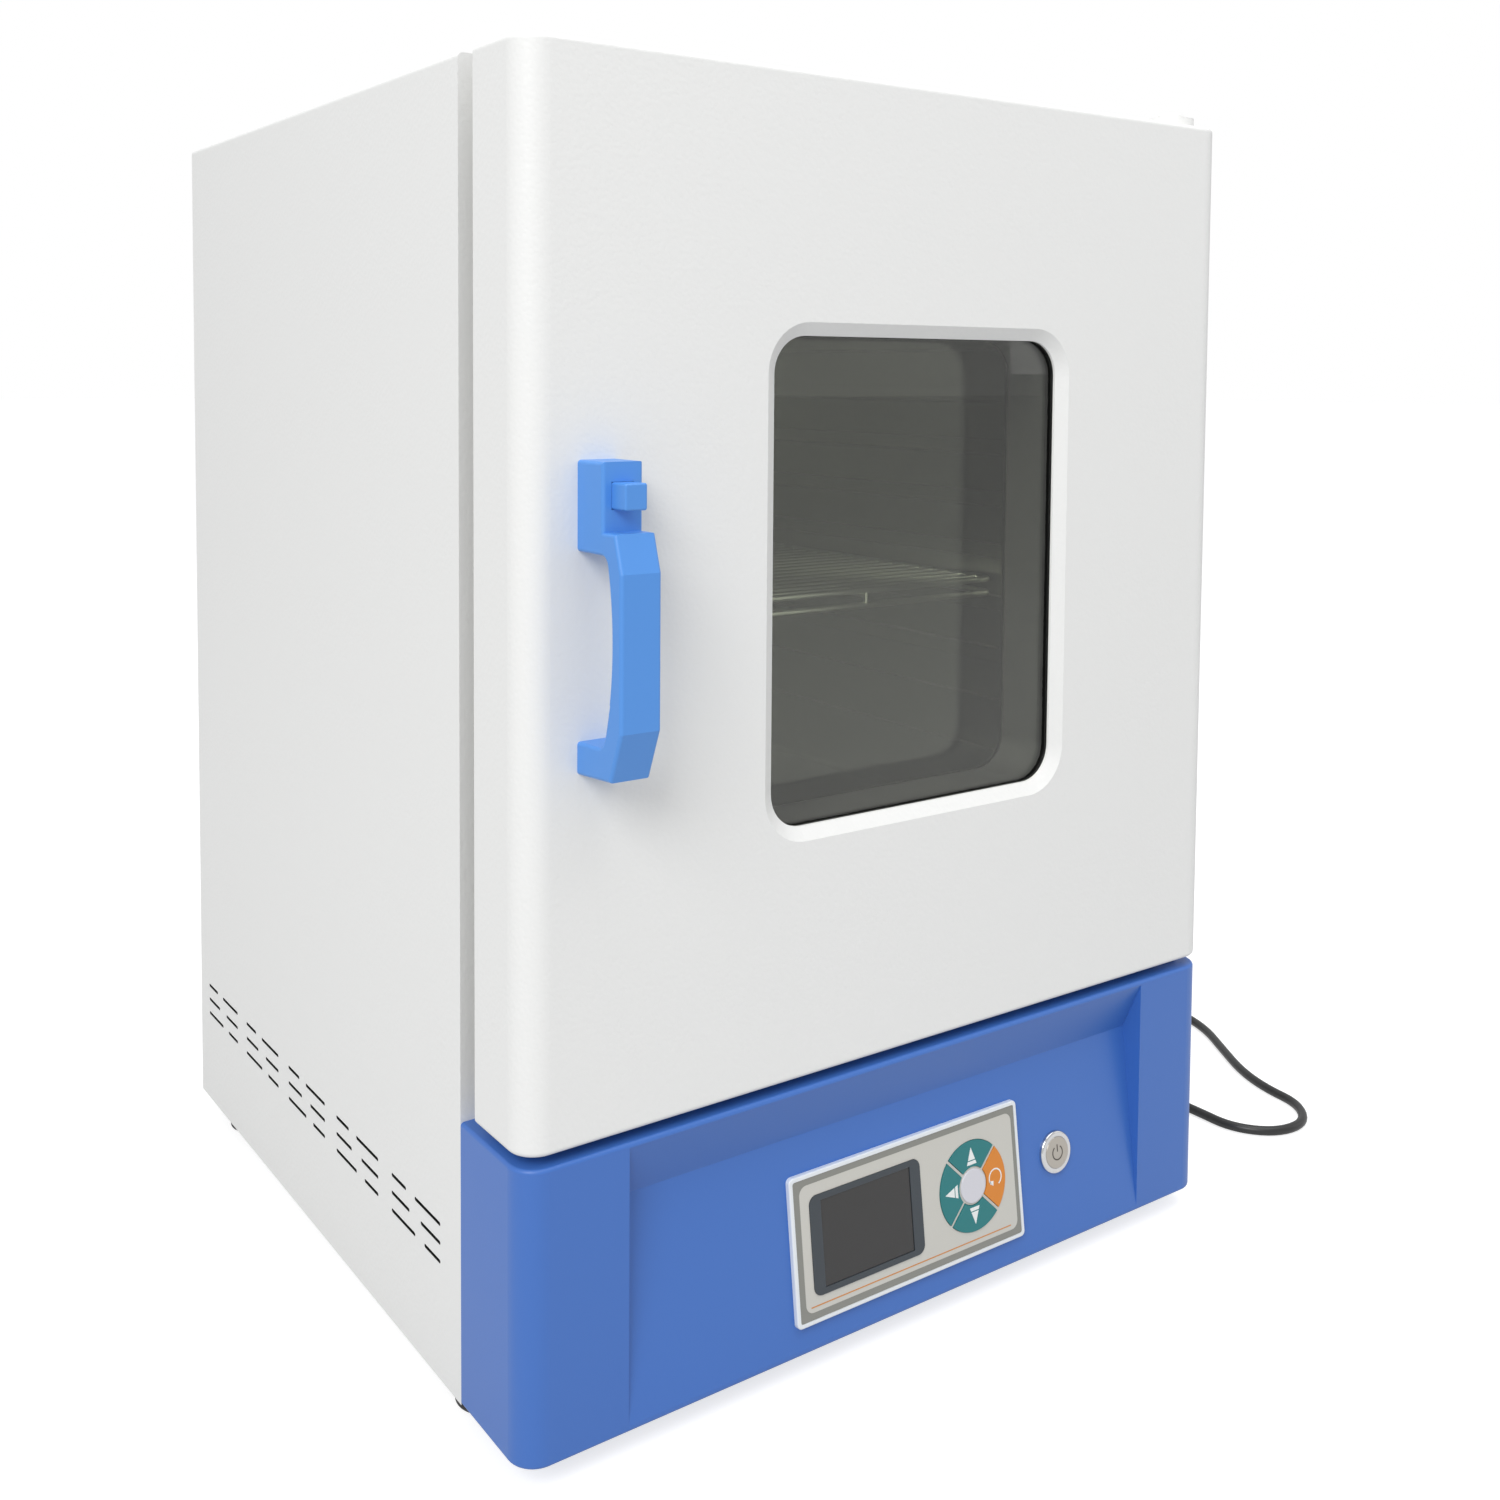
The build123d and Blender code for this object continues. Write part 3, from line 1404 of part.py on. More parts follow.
# Power button
# Metal push switch: domed flange, body through the panel, and a separate ring nut behind it.
with BuildPart() as power_housing:
    with BuildSketch(panel):
        with Locations((power_across, module_up)):
            Circle(power_flange)
    extrude(amount=2.4)
    fillet(
        power_housing.faces().sort_by(Axis(panel.origin, panel.z_dir))[-1].edges(), 1.4
    )
    with BuildSketch(panel):
        with Locations((power_across, module_up)):
            Circle(power_body)
    extrude(amount=-24)
    with BuildSketch(panel.offset(2.4)):
        with Locations((power_across, module_up)):
            Circle(power_cap + running_clearance)
    extrude(amount=-(2.4 + 6.0), mode=Mode.SUBTRACT)
    with BuildSketch(panel.offset(-console_wall)):
        with Locations((power_across, module_up)):
            RegularPolygon(13.5, 6)
            Circle(power_body + running_clearance, mode=Mode.SUBTRACT)
    extrude(amount=-3)
keep(power_housing, "power_housing")

with BuildPart() as power_button:
    with BuildSketch(panel.offset(2.9)):
        with Locations((power_across, module_up)):
            Circle(power_cap)
    extrude(amount=-(2.9 + 6.0 - power_travel - 0.2))
    fillet(
        power_button.faces().sort_by(Axis(panel.origin, panel.z_dir))[-1].edges(), 0.6
    )
keep(power_button, "power_button")

# Electrics on the bottom pan: supply board on pillars, relay on a finned heat sink
bay_middle = y_cab + cabinet_depth / 2
supply_at = (-0.22 * cabinet_width, bay_middle)
supply_size = (0.3 * cabinet_width, 0.23 * cabinet_depth)
pillar = 8.0
with BuildPart() as supply_board:
    with BuildSketch(Plane.XY.offset(z_base + sheet)):
        with Locations(supply_at):
            with GridLocations(supply_size[0] - 14, supply_size[1] - 14, 2, 2):
                Circle(3)
    extrude(amount=pillar)
    with BuildSketch(Plane.XY.offset(z_base + sheet + pillar)):
        with Locations(supply_at):
            Rectangle(*supply_size)
    extrude(amount=1.6)
    with BuildSketch(Plane.XY.offset(z_base + sheet + pillar + 1.6)):
        with Locations((supply_at[0] - supply_size[0] / 4, supply_at[1])):
            Rectangle(supply_size[0] / 4, supply_size[1] / 2.3)
        with Locations((supply_at[0] + supply_size[0] / 5, supply_at[1] + supply_size[1] / 5)):
            Rectangle(supply_size[0] / 5, supply_size[1] / 5)
    extrude(amount=3.5 * pillar)
keep(supply_board, "supply_board")

sink_fins = 9
sink_width = 0.16 * cabinet_width
sink_length = 0.2 * cabinet_depth
sink_plate = 5.0
sink_height = 30.0
fin_sheet = 2.0
sink_at = (0.14 * cabinet_width, bay_middle)
fin_step = (sink_width - fin_sheet) / (sink_fins - 1)
with BuildPart() as relay_heat_sink:
    with BuildSketch(facing(sink_at[1] + sink_length / 2)):
        with Locations((sink_at[0], z_base + sheet + sink_plate / 2)):
            Rectangle(sink_width, sink_plate)
        for fin in range(sink_fins):
            fin_at = sink_at[0] - (sink_width - fin_sheet) / 2 + fin * fin_step
            with Locations((fin_at, z_base + sheet + sink_height / 2)):
                Rectangle(fin_sheet, sink_height)
    extrude(amount=sink_length)
keep(relay_heat_sink, "relay_heat_sink")

# Strain relief
# Tapered rubber sleeve with a flange, through the back panel.
with BuildPart() as strain_relief:
    with BuildSketch(facing(y_back + 3)):
        with Locations((cord_exit_across, cord_exit_height)):
            Circle(gland_radius + 3)
    extrude(amount=3)
    with BuildSketch(facing(y_back)):
        with Locations((cord_exit_across, cord_exit_height)):
            Circle(gland_radius)
    extrude(amount=sheet + 4)
    with BuildSketch(facing(y_back + 3)):
        with Locations((cord_exit_across, cord_exit_height)):
            Circle(gland_radius - 1)
    with BuildSketch(facing(y_back + gland_length)):
        with Locations((cord_exit_across, cord_exit_height)):
            Circle(cord_diameter / 2 + 1.2)
    loft()
keep(strain_relief, "strain_relief")

# Mains cord
# Leaves the back, drops to the bench, runs forward beside the cabinet, turns back
# on itself and ends in a neat coil, with the plug lying on the coil.
floor_line = cord_diameter / 2 + 0.15
coil_reach = coil_mean_radius + 1.5 * cord_diameter + 0.15
coil_entry = radians(12)
cord_route = [
    (cord_exit_across, cabinet_depth + gland_length + 0.4, cord_exit_height),
    (cord_exit_across + 1, cabinet_depth + 62, 58),
    (cord_exit_across + 5, cabinet_depth + 87, 46),
    (cord_exit_across + 17, cabinet_depth + 106, 27),
    (half_width - 17.5, cabinet_depth + 117, 11),
    (half_width + 14.5, cabinet_depth + 115, floor_line),
    (half_width + 46.5, cabinet_depth + 95, floor_line),
    (half_width + 70.5, cabinet_depth + 62, floor_line),
    (half_width + 86.5, cabinet_depth + 21, floor_line),
    (half_width + 93.5, cabinet_depth - 26, floor_line),
    (half_width + 95.5, cabinet_depth - 76, floor_line),
    (half_width + 101.5, 306, floor_line),
    (half_width + 108.5, 252, floor_line),
    (half_width + 108.5, 197, floor_line),
    (half_width + 102.5, 144, floor_line),
    (half_width + 98.5, 95, floor_line),
    (half_width + 100.5, 50, floor_line),
    (half_width + 102.5, 14, floor_line),
    (half_width + 102.5, -15, floor_line),
    (half_width + 122.5, -38, floor_line),
    (half_width + 152.5, -41, floor_line),
    (half_width + 174.5, -20, floor_line),
    (half_width + 176.5, 10, floor_line),
    (half_width + 186.5, 40, floor_line),
    (half_width + 208.5, 75, floor_line),
    (half_width + 229.5, 108, floor_line),
    (half_width + 238.5, 145, floor_line),
    (
        coil_centre[0] + coil_reach * cos(coil_entry),
        coil_centre[1] - coil_reach * sin(coil_entry),
        floor_line,
    ),
]
cord_points = [Vector(x, y_cab + y, z) for x, y, z in cord_route]
cord_radii = []
for before, here, after in zip(cord_points, cord_points[1:], cord_points[2:]):
    turn = (here - before).get_angle(after - here)
    shorter = min((here - before).length, (after - here).length)
    cord_radii.append(0.45 * shorter / tan(radians(turn / 2)))
print("cord radii", [round(radius) for radius in cord_radii])
with BuildPart() as power_cord:
    with BuildLine() as cord_line:
        FilletPolyline(*cord_points, radius=cord_radii)
    with BuildSketch(Plane(cord_line.line @ 0, z_dir=cord_line.line % 0)):
        Circle(cord_diameter / 2)
    sweep(path=cord_line.line)
tube_length = sum(edge.length for edge in cord_line.edges())
print(
    "cord tube", round(tube_length), "volume ratio",
    round(power_cord.part.volume / (tube_length * pi * cord_diameter**2 / 4), 4),
)
coil_length = cord_length - tube_length
print("coil turns", round(coil_length / (2 * pi * coil_mean_radius), 2))
keep(power_cord, "power_cord")

coil_layers = 2
with BuildPart() as cord_coil:
    with BuildSketch(Plane.XY):
        with Locations((coil_centre[0], y_cab + coil_centre[1])):
            Circle(coil_mean_radius + cord_diameter)
            Circle(coil_mean_radius - cord_diameter, mode=Mode.SUBTRACT)
    extrude(amount=coil_layers * cord_diameter + 0.3)
keep(cord_coil, "cord_coil")

# Plug
# Moulded three pin plug lying on the coil, its narrow end towards the cord.
plug_at = (coil_centre[0] - coil_mean_radius, y_cab + coil_centre[1])
plug_length = 40.0
plug_width = 26.0
plug_height = 20.0
z_plug = coil_layers * cord_diameter + 0.3
pin_face = plug_at[1] - plug_length + 10
with BuildPart() as plug:
    with BuildSketch(facing(pin_face)):
        with Locations((plug_at[0], z_plug + plug_height / 2)):
            RectangleRounded(plug_width, plug_height, 5)
    with BuildSketch(facing(pin_face + plug_length)):
        with Locations((plug_at[0], z_plug + plug_height / 2 - 3)):
            RectangleRounded(plug_width - 10, plug_height - 6, 5)
    loft()
keep(plug, "plug")

with BuildPart() as plug_pins:
    with BuildSketch(facing(pin_face)):
        with Locations((plug_at[0], z_plug + plug_height / 2)):
            with Locations((-6.35, -3), (6.35, -3)):
                Rectangle(1.5, 6.3)
            with Locations((0, 5)):
                Circle(2.4)
    extrude(amount=17)
keep(plug_pins, "plug_pins")
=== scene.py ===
from math import cos, radians, sin, sqrt

import bmesh
import bpy
import numpy as np
from mathutils import Matrix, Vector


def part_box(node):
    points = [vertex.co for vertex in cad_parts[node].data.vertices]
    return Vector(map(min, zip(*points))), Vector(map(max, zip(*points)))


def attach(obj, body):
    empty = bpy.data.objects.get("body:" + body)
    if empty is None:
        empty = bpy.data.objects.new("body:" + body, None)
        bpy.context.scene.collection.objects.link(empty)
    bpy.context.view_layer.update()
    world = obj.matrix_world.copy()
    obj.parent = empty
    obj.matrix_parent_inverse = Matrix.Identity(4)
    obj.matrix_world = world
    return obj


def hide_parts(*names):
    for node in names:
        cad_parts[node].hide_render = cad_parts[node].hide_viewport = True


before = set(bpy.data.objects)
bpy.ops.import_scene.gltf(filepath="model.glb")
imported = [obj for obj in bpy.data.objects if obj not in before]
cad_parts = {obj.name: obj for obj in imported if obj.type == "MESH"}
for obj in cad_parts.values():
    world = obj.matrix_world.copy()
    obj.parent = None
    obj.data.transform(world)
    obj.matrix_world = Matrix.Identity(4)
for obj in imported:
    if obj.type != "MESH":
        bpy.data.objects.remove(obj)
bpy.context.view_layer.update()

# Camera
# It stands in front of the incubator's left corner, a little above its middle. The photograph
# is cropped off centre, which the lens shift repeats.
heading, dip, roll = radians(-34.711), radians(3.2142), radians(0.36473)
back = np.array([sin(heading) * cos(dip), -cos(heading) * cos(dip), sin(dip)])
level = np.cross(-back, (0, 0, 1))
level = level / np.linalg.norm(level)
upright = np.cross(level, -back)
across = cos(roll) * level + sin(roll) * upright
upwards = -sin(roll) * level + cos(roll) * upright
camera_data = bpy.data.cameras.new("camera")
camera_data.sensor_width = 36.0
camera_data.lens = 38.077
camera_data.shift_x = 0.0229
camera_data.shift_y = -0.1915
camera_data.clip_start = 0.05
camera_data.clip_end = 60.0
camera = bpy.data.objects.new("camera", camera_data)
camera.matrix_world = Matrix.Translation((-0.58848, -0.89651, 0.54079)) @ Matrix(
    np.stack([across, upwards, back], 1).tolist()
).to_4x4()
bpy.context.scene.collection.objects.link(camera)
bpy.context.scene.camera = camera


# Mains cord
# Round black PVC flex, 6.5 mm across and 1.8 m long. It leaves the back through the strain
# relief, lies along the cabinet's right side, and the spare length is wound in two layers.
def linear(colour):
    """sRGB hex to linear: c / 12.92 below 0.04045, else ((c + 0.055) / 1.055) ** 2.4."""
    shade = np.array([int(colour[k : k + 2], 16) for k in (1, 3, 5)]) / 255
    return (*np.where(shade < 0.04045, shade / 12.92, ((shade + 0.055) / 1.055) ** 2.4), 1.0)


def add_node(tree, kind, sockets=None, links=None, **settings):
    """Add one shader node: its settings, its input values, and the outputs linked to its inputs."""
    made = tree.nodes.new(kind)
    for name, value in settings.items():
        setattr(made, name, value)
    for name, value in (sockets or {}).items():
        made.inputs[name].default_value = value
    for name, source in (links or {}).items():
        tree.links.new(source, made.inputs[name])
    return made


def new_finish(name, colour, **sockets):
    """A material whose constant values stand on its own shader's sockets."""
    material = bpy.data.materials.new(name)
    material.use_nodes = True
    shader = material.node_tree.nodes["Principled BSDF"]
    shader.inputs["Base Color"].default_value = linear(colour)
    for socket, value in sockets.items():
        shader.inputs[socket.replace("_", " ")].default_value = value
    return material, material.node_tree, shader


cord_diameter = 0.0065
cord_route = [
    (0.1900, 0.2878, 0.0600),
    (0.1910, 0.3144, 0.0580),
    (0.1950, 0.3394, 0.0460),
    (0.2070, 0.3585, 0.0270),
    (0.2300, 0.3695, 0.0110),
    (0.2620, 0.3675, 0.0034),
    (0.2940, 0.3474, 0.0034),
    (0.3180, 0.3144, 0.0034),
    (0.3340, 0.2734, 0.0034),
    (0.3410, 0.2264, 0.0034),
    (0.3430, 0.1764, 0.0034),
    (0.3490, 0.1244, 0.0034),
    (0.3560, 0.0704, 0.0034),
    (0.3560, 0.0154, 0.0034),
    (0.3500, -0.0376, 0.0034),
    (0.3460, -0.0866, 0.0034),
    (0.3480, -0.1316, 0.0034),
    (0.3500, -0.1676, 0.0034),
    (0.3500, -0.1966, 0.0034),
    (0.3700, -0.2196, 0.0034),
    (0.4000, -0.2226, 0.0034),
    (0.4220, -0.2016, 0.0034),
    (0.4240, -0.1716, 0.0034),
    (0.4340, -0.1416, 0.0034),
    (0.4560, -0.1066, 0.0034),
    (0.4770, -0.0736, 0.0034),
    (0.4860, -0.0366, 0.0034),
    (0.4829, 0.0089, 0.0034),
]
coil_centre = (0.438, 0.01845)
outer_turn, inner_turn = 0.0394, 0.0328
first_layer, second_layer = 0.0034, 0.00995
plug_tail_height = 0.0203
coil_points = 63
wound = np.linspace(radians(20), radians(1257), coil_points)
turn_radius = np.interp(
    np.degrees(wound),
    (0, 100, 330, 400, 1150, 1257),
    (0.0459, outer_turn, outer_turn, inner_turn, inner_turn, 0.036),
)
turn_height = np.interp(
    np.degrees(wound),
    (0, 650, 730, 1150, 1240, 1257),
    (first_layer, first_layer, second_layer, second_layer, plug_tail_height, plug_tail_height),
)
bearing = wound - radians(12)
coil_route = np.stack(
    [
        coil_centre[0] + turn_radius * np.cos(bearing),
        coil_centre[1] + turn_radius * np.sin(bearing),
        turn_height,
    ],
    1,
)
cord_points = np.concatenate([cord_route, coil_route])
cord_curve = bpy.data.curves.new("power_flex", "CURVE")
cord_curve.dimensions = "3D"
cord_curve.bevel_depth = cord_diameter / 2
cord_curve.bevel_resolution = 5
cord_curve.resolution_u = 6
cord_curve.use_fill_caps = True
strand = cord_curve.splines.new("NURBS")
strand.points.add(len(cord_points) - 1)
strand.points.foreach_set("co", np.c_[cord_points, np.ones(len(cord_points))].ravel())
strand.order_u = 3
strand.use_endpoint_u = True
power_flex = bpy.data.objects.new("power_flex", cord_curve)
bpy.context.scene.collection.objects.link(power_flex)

# Extruded PVC: smooth with a soft shine, and only a faint unevenness along it.
pvc_sheath, tree, shader = new_finish("extruded_black_pvc", "#232323", Roughness=0.38, IOR=1.53)
place = add_node(tree, "ShaderNodeTexCoord")
waviness = add_node(
    tree, "ShaderNodeTexNoise", {"Scale": 160.0, "Detail": 2.0}, {"Vector": place.outputs["Object"]}
)
relief = add_node(
    tree,
    "ShaderNodeBump",
    {"Strength": 0.15, "Distance": 0.0003},
    {"Height": waviness.outputs["Fac"]},
)
tree.links.new(relief.outputs["Normal"], shader.inputs["Normal"])
cord_curve.materials.append(pvc_sheath)
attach(power_flex, "cabinet")
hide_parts("power_cord", "cord_coil")


# Mains plug
# Moulded rubber body that narrows towards the flex into a tail that keeps it from kinking; the tail's
# ribs are not drawn.
def rounded_loop(width, height, corner, per_corner=8):
    """Rounded rectangle: each corner's arc centre is (+-(w/2 - r), +-(h/2 - r)), its points
    are centre + r (cos a, sin a), with a going once round."""
    turn = np.linspace(0, np.pi / 2, per_corner)
    quarter = np.arange(4)[:, None] * np.pi / 2 + turn
    side = np.array([1, -1, -1, 1])[:, None] * (width / 2 - corner)
    top = np.array([1, 1, -1, -1])[:, None] * (height / 2 - corner)
    x = side + corner * np.cos(quarter)
    y = top + corner * np.sin(quarter)
    return np.stack([x.ravel(), y.ravel()], 1)


def shell(points, closed_along=False):
    """Skin over a grid points[i, j]: quads between row i and i + 1, column j and j + 1, with
    the last column joined to the first. The ends are flat caps, or join when closed_along."""
    rows, columns = points.shape[:2]
    i = np.arange(rows if closed_along else rows - 1)[:, None]
    j = np.arange(columns)[None, :]
    following = (i + 1) % rows
    beside = (j + 1) % columns
    quads = np.stack(
        [
            i * columns + j,
            i * columns + beside,
            following * columns + beside,
            following * columns + j,
        ],
        -1,
    )
    faces = quads.reshape(-1, 4).tolist()
    if not closed_along:
        faces.append(list(range(columns))[::-1])
        faces.append(list(range((rows - 1) * columns, rows * columns)))
    return points.reshape(-1, 3), faces


def new_piece(name, material, *shells, crease=35.0):
    """One object from closed skins. Each skin is turned so that its signed volume is positive."""
    body = bmesh.new()
    for points, faces in shells:
        part = bpy.data.meshes.new(name)
        part.from_pydata(points.tolist(), [], faces)
        single = bmesh.new()
        single.from_mesh(part)
        if single.calc_volume(signed=True) < 0:
            bmesh.ops.reverse_faces(single, faces=single.faces)
        single.to_mesh(part)
        single.free()
        body.from_mesh(part)
        bpy.data.meshes.remove(part)
    mesh = bpy.data.meshes.new(name)
    body.to_mesh(mesh)
    body.free()
    mesh.shade_smooth()
    mesh.set_sharp_from_angle(angle=radians(crease))
    mesh.materials.append(material)
    piece = bpy.data.objects.new(name, mesh)
    bpy.context.scene.collection.objects.link(piece)
    return piece


plug_low, plug_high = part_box("plug")
plug_across = (plug_low.x + plug_high.x) / 2
plug_wide = plug_high.x - plug_low.x
plug_tall = plug_high.z - plug_low.z
plug_long = plug_high.y - plug_low.y
along = np.array([0.0, 0.015, 0.05, 0.3, 0.45, 0.6, 0.8, 0.97, 1.0])
swell = np.array([0.86, 0.95, 1.0, 1.0, 0.93, 0.8, 0.66, 0.6, 0.52])
middle_height = np.interp(along, (0.3, 1.0), (plug_low.z + plug_tall / 2, plug_tail_height))
body_rings = []
for share, size, middle in zip(along, swell, middle_height):
    outline = rounded_loop(plug_wide * size, plug_tall * size, 0.0045)
    body_rings.append(
        np.c_[
            plug_across + outline[:, 0],
            np.full(len(outline), plug_low.y + share * plug_long),
            middle + outline[:, 1],
        ]
    )
moulded_plug = new_piece("moulded_plug", pvc_sheath, shell(np.array(body_rings)))
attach(moulded_plug, "cabinet")
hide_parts("plug")


# Strain relief, feet and seals
# Moulded rubber, black and matt, with a slight mottle from the mould.
def dress(material, *names):
    """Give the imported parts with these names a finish."""
    for name in names:
        for place_in_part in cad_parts[name].material_slots:
            place_in_part.material = material


moulded_rubber, tree, shader = new_finish("moulded_black_rubber", "#242424", Roughness=0.62, IOR=1.52)
place = add_node(tree, "ShaderNodeTexCoord")
mottle = add_node(
    tree, "ShaderNodeTexNoise", {"Scale": 420.0, "Detail": 3.0}, {"Vector": place.outputs["Object"]}
)
relief = add_node(
    tree, "ShaderNodeBump", {"Strength": 0.25, "Distance": 0.0002}, {"Height": mottle.outputs["Fac"]}
)
tree.links.new(relief.outputs["Normal"], shader.inputs["Normal"])
dress(
    moulded_rubber,
    "strain_relief",
    "foot_front_left",
    "foot_rear_left",
    "foot_front_right",
    "foot_rear_right",
)

# The seal that grips the outer pane is softer and darker, and shows as a thin black line.
glazing_rubber = new_finish("glazing_rubber", "#141414", Roughness=0.4, IOR=1.52)[0]
dress(glazing_rubber, "window_seal")

# Cabinet, door and frame
# Folded and pressed sheet steel with a baked powder coat. The powder flows out into a fine
# leather grain of about 1.5 mm, drawn slightly coarser here so that it shows.
grain_size = 0.0021
powder_coat, tree, shader = new_finish("grained_white_powder_coat", "#EAEAE8", Roughness=0.46)
place = add_node(tree, "ShaderNodeTexCoord")
grain = add_node(
    tree,
    "ShaderNodeTexVoronoi",
    {"Scale": 1 / grain_size, "Smoothness": 1.0, "Randomness": 1.0},
    {"Vector": place.outputs["Object"]},
    feature="SMOOTH_F1",
)
flow = add_node(
    tree,
    "ShaderNodeTexNoise",
    {"Scale": 1 / (6 * grain_size), "Detail": 2.0},
    {"Vector": place.outputs["Object"]},
)
ripple = add_node(
    tree, "ShaderNodeBump", {"Strength": 0.12, "Distance": 0.0004}, {"Height": flow.outputs["Fac"]}
)
relief = add_node(
    tree,
    "ShaderNodeBump",
    {"Strength": 0.22, "Distance": 0.0005},
    {"Height": grain.outputs["Distance"], "Normal": ripple.outputs["Normal"]},
)
tree.links.new(relief.outputs["Normal"], shader.inputs["Normal"])
dress(
    powder_coat,
    "back_panel",
    "front_frame",
    "door_shell",
    "hinge_brackets",
    "vent_tube",
)

# Casing with its side vents
# The same powder coat outside. Painted shade: the cut edges of the slots and the sheet's inner face
# beside them are coloured near black, standing in for the shade inside the slots, so a slot reads black
# to its rim.
casing_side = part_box("outer_casing")[1].x
paint_skin = 0.00015
vent_band_top = 0.13
casing_coat = powder_coat.copy()
casing_coat.name = "white_powder_coat_with_painted_slot_shade"
tree = casing_coat.node_tree
place = add_node(tree, "ShaderNodeTexCoord")
axes = add_node(tree, "ShaderNodeSeparateXYZ", None, {"Vector": place.outputs["Object"]})
outward = add_node(tree, "ShaderNodeMath", operation="ABSOLUTE")
tree.links.new(axes.outputs["X"], outward.inputs[0])
inside = add_node(tree, "ShaderNodeMath", operation="LESS_THAN")
inside.inputs[1].default_value = casing_side - paint_skin
tree.links.new(outward.outputs[0], inside.inputs[0])
low = add_node(tree, "ShaderNodeMath", operation="LESS_THAN")
low.inputs[1].default_value = vent_band_top
tree.links.new(axes.outputs["Z"], low.inputs[0])
# Painted shade mask: the casing's inner faces and slot edges below the vent band's top.
slot_shade_mask = add_node(tree, "ShaderNodeMath", operation="MULTIPLY")
tree.links.new(inside.outputs[0], slot_shade_mask.inputs[0])
tree.links.new(low.outputs[0], slot_shade_mask.inputs[1])
# Painted shade: near black there, in place of the shade that fills the vent slots.
paint = add_node(
    tree,
    "ShaderNodeMix",
    {"A": linear("#EAEAE8"), "B": linear("#161616")},
    {"Factor": slot_shade_mask.outputs[0]},
    data_type="RGBA",
)
tree.links.new(paint.outputs["Result"], tree.nodes["Principled BSDF"].inputs["Base Color"])
dress(casing_coat, "outer_casing")

# Console cover
# Injection moulded ABS in mid blue. The mould's spark finish leaves a fine even matt grain.
console_blue, tree, shader = new_finish("spark_finished_blue_abs", "#3C6DBC", Roughness=0.4, IOR=1.54)
place = add_node(tree, "ShaderNodeTexCoord")
spark = add_node(
    tree, "ShaderNodeTexNoise", {"Scale": 900.0, "Detail": 2.0}, {"Vector": place.outputs["Object"]}
)
relief = add_node(
    tree, "ShaderNodeBump", {"Strength": 0.12, "Distance": 0.0002}, {"Height": spark.outputs["Fac"]}
)
tree.links.new(relief.outputs["Normal"], shader.inputs["Normal"])
dress(console_blue, "console_cover")

# Handle and its push button
# Moulded ABS in a lighter blue with the same fine matt grain.
handle_blue, tree, shader = new_finish("light_blue_abs", "#5090DC", Roughness=0.4, IOR=1.54)
place = add_node(tree, "ShaderNodeTexCoord")
spark = add_node(
    tree, "ShaderNodeTexNoise", {"Scale": 900.0, "Detail": 2.0}, {"Vector": place.outputs["Object"]}
)
relief = add_node(
    tree, "ShaderNodeBump", {"Strength": 0.1, "Distance": 0.0002}, {"Height": spark.outputs["Fac"]}
)
tree.links.new(relief.outputs["Normal"], shader.inputs["Normal"])
dress(handle_blue, "handle", "latch_button")

# Window panes
# Two panes of toughened float glass, smoke tinted, with the still air of the jamb between them.
# Light passes through them to the chamber, a tenth less at each face.
smoked_glass, tree, shader = new_finish(
    "smoke_tinted_float_glass",
    "#E0E2DA",
    Roughness=0.0,
    IOR=1.5,
    Transmission_Weight=1.0,
)
passing = add_node(tree, "ShaderNodeBsdfTransparent", {"Color": linear("#F4F5F0")})
ray = add_node(tree, "ShaderNodeLightPath")
lit_through = add_node(tree, "ShaderNodeMixShader", None, {"Fac": ray.outputs["Is Shadow Ray"]})
tree.links.new(shader.outputs[0], lit_through.inputs[1])
tree.links.new(passing.outputs[0], lit_through.inputs[2])
tree.links.new(lit_through.outputs[0], tree.nodes["Material Output"].inputs["Surface"])
dress(smoked_glass, "outer_pane", "inner_pane")
satin_black = new_finish("satin_black_jamb", "#3A3A38", Roughness=0.5)[0]
dress(satin_black, "window_jamb")

# Chamber
# Stainless sheet with a satin brushed grain that runs up the walls, about 0.4 mm apart.
brushed_stainless, tree, shader = new_finish(
    "brushed_stainless_steel", "#BDBDB8", Metallic=1.0, Roughness=0.34
)
place = add_node(tree, "ShaderNodeTexCoord")
stretch = add_node(
    tree, "ShaderNodeMapping", {"Scale": (2400.0, 2400.0, 30.0)}, {"Vector": place.outputs["Object"]}
)
streaks = add_node(
    tree, "ShaderNodeTexNoise", {"Scale": 1.0, "Detail": 2.0}, {"Vector": stretch.outputs["Vector"]}
)
relief = add_node(
    tree, "ShaderNodeBump", {"Strength": 0.08, "Distance": 0.0001}, {"Height": streaks.outputs["Fac"]}
)
tree.links.new(relief.outputs["Normal"], shader.inputs["Normal"])
dress(
    brushed_stainless,
    "chamber_liner",
    "duct_plate",
    "shelf_rack_left",
    "shelf_rack_right",
    "door_inner_panel",
    "heater",
    "temperature_probe",
)

# Wire shelf
# Welded steel wire, bright chrome plated.
bright_chrome = new_finish("bright_chrome_plate", "#F4F4F2", Metallic=1.0, Roughness=0.3)[0]
dress(bright_chrome, "wire_shelf")

# Inner sheet metal, fasteners and hinge bushes
# Zinc plated steel: dull grey with faint crystal patches about 4 mm across.
zinc_plate, tree, shader = new_finish("zinc_plated_steel", "#A9ABAD", Metallic=1.0, Roughness=0.38)
place = add_node(tree, "ShaderNodeTexCoord")
patches = add_node(
    tree, "ShaderNodeTexVoronoi", {"Scale": 250.0}, {"Vector": place.outputs["Object"]}
)
gloss = add_node(
    tree,
    "ShaderNodeMapRange",
    {"To Min": 0.3, "To Max": 0.46},
    {"Value": patches.outputs["Distance"]},
)
tree.links.new(gloss.outputs["Result"], shader.inputs["Roughness"])
dress(
    zinc_plate,
    "bottom_pan",
    "inner_floor",
    "latch_bracket",
    "strike_plate",
    "cabinet_screws",
    "handle_screws",
    "latch_spring",
    "latch_hook",
    "fan_shaft",
    "hinge_bushes",
)
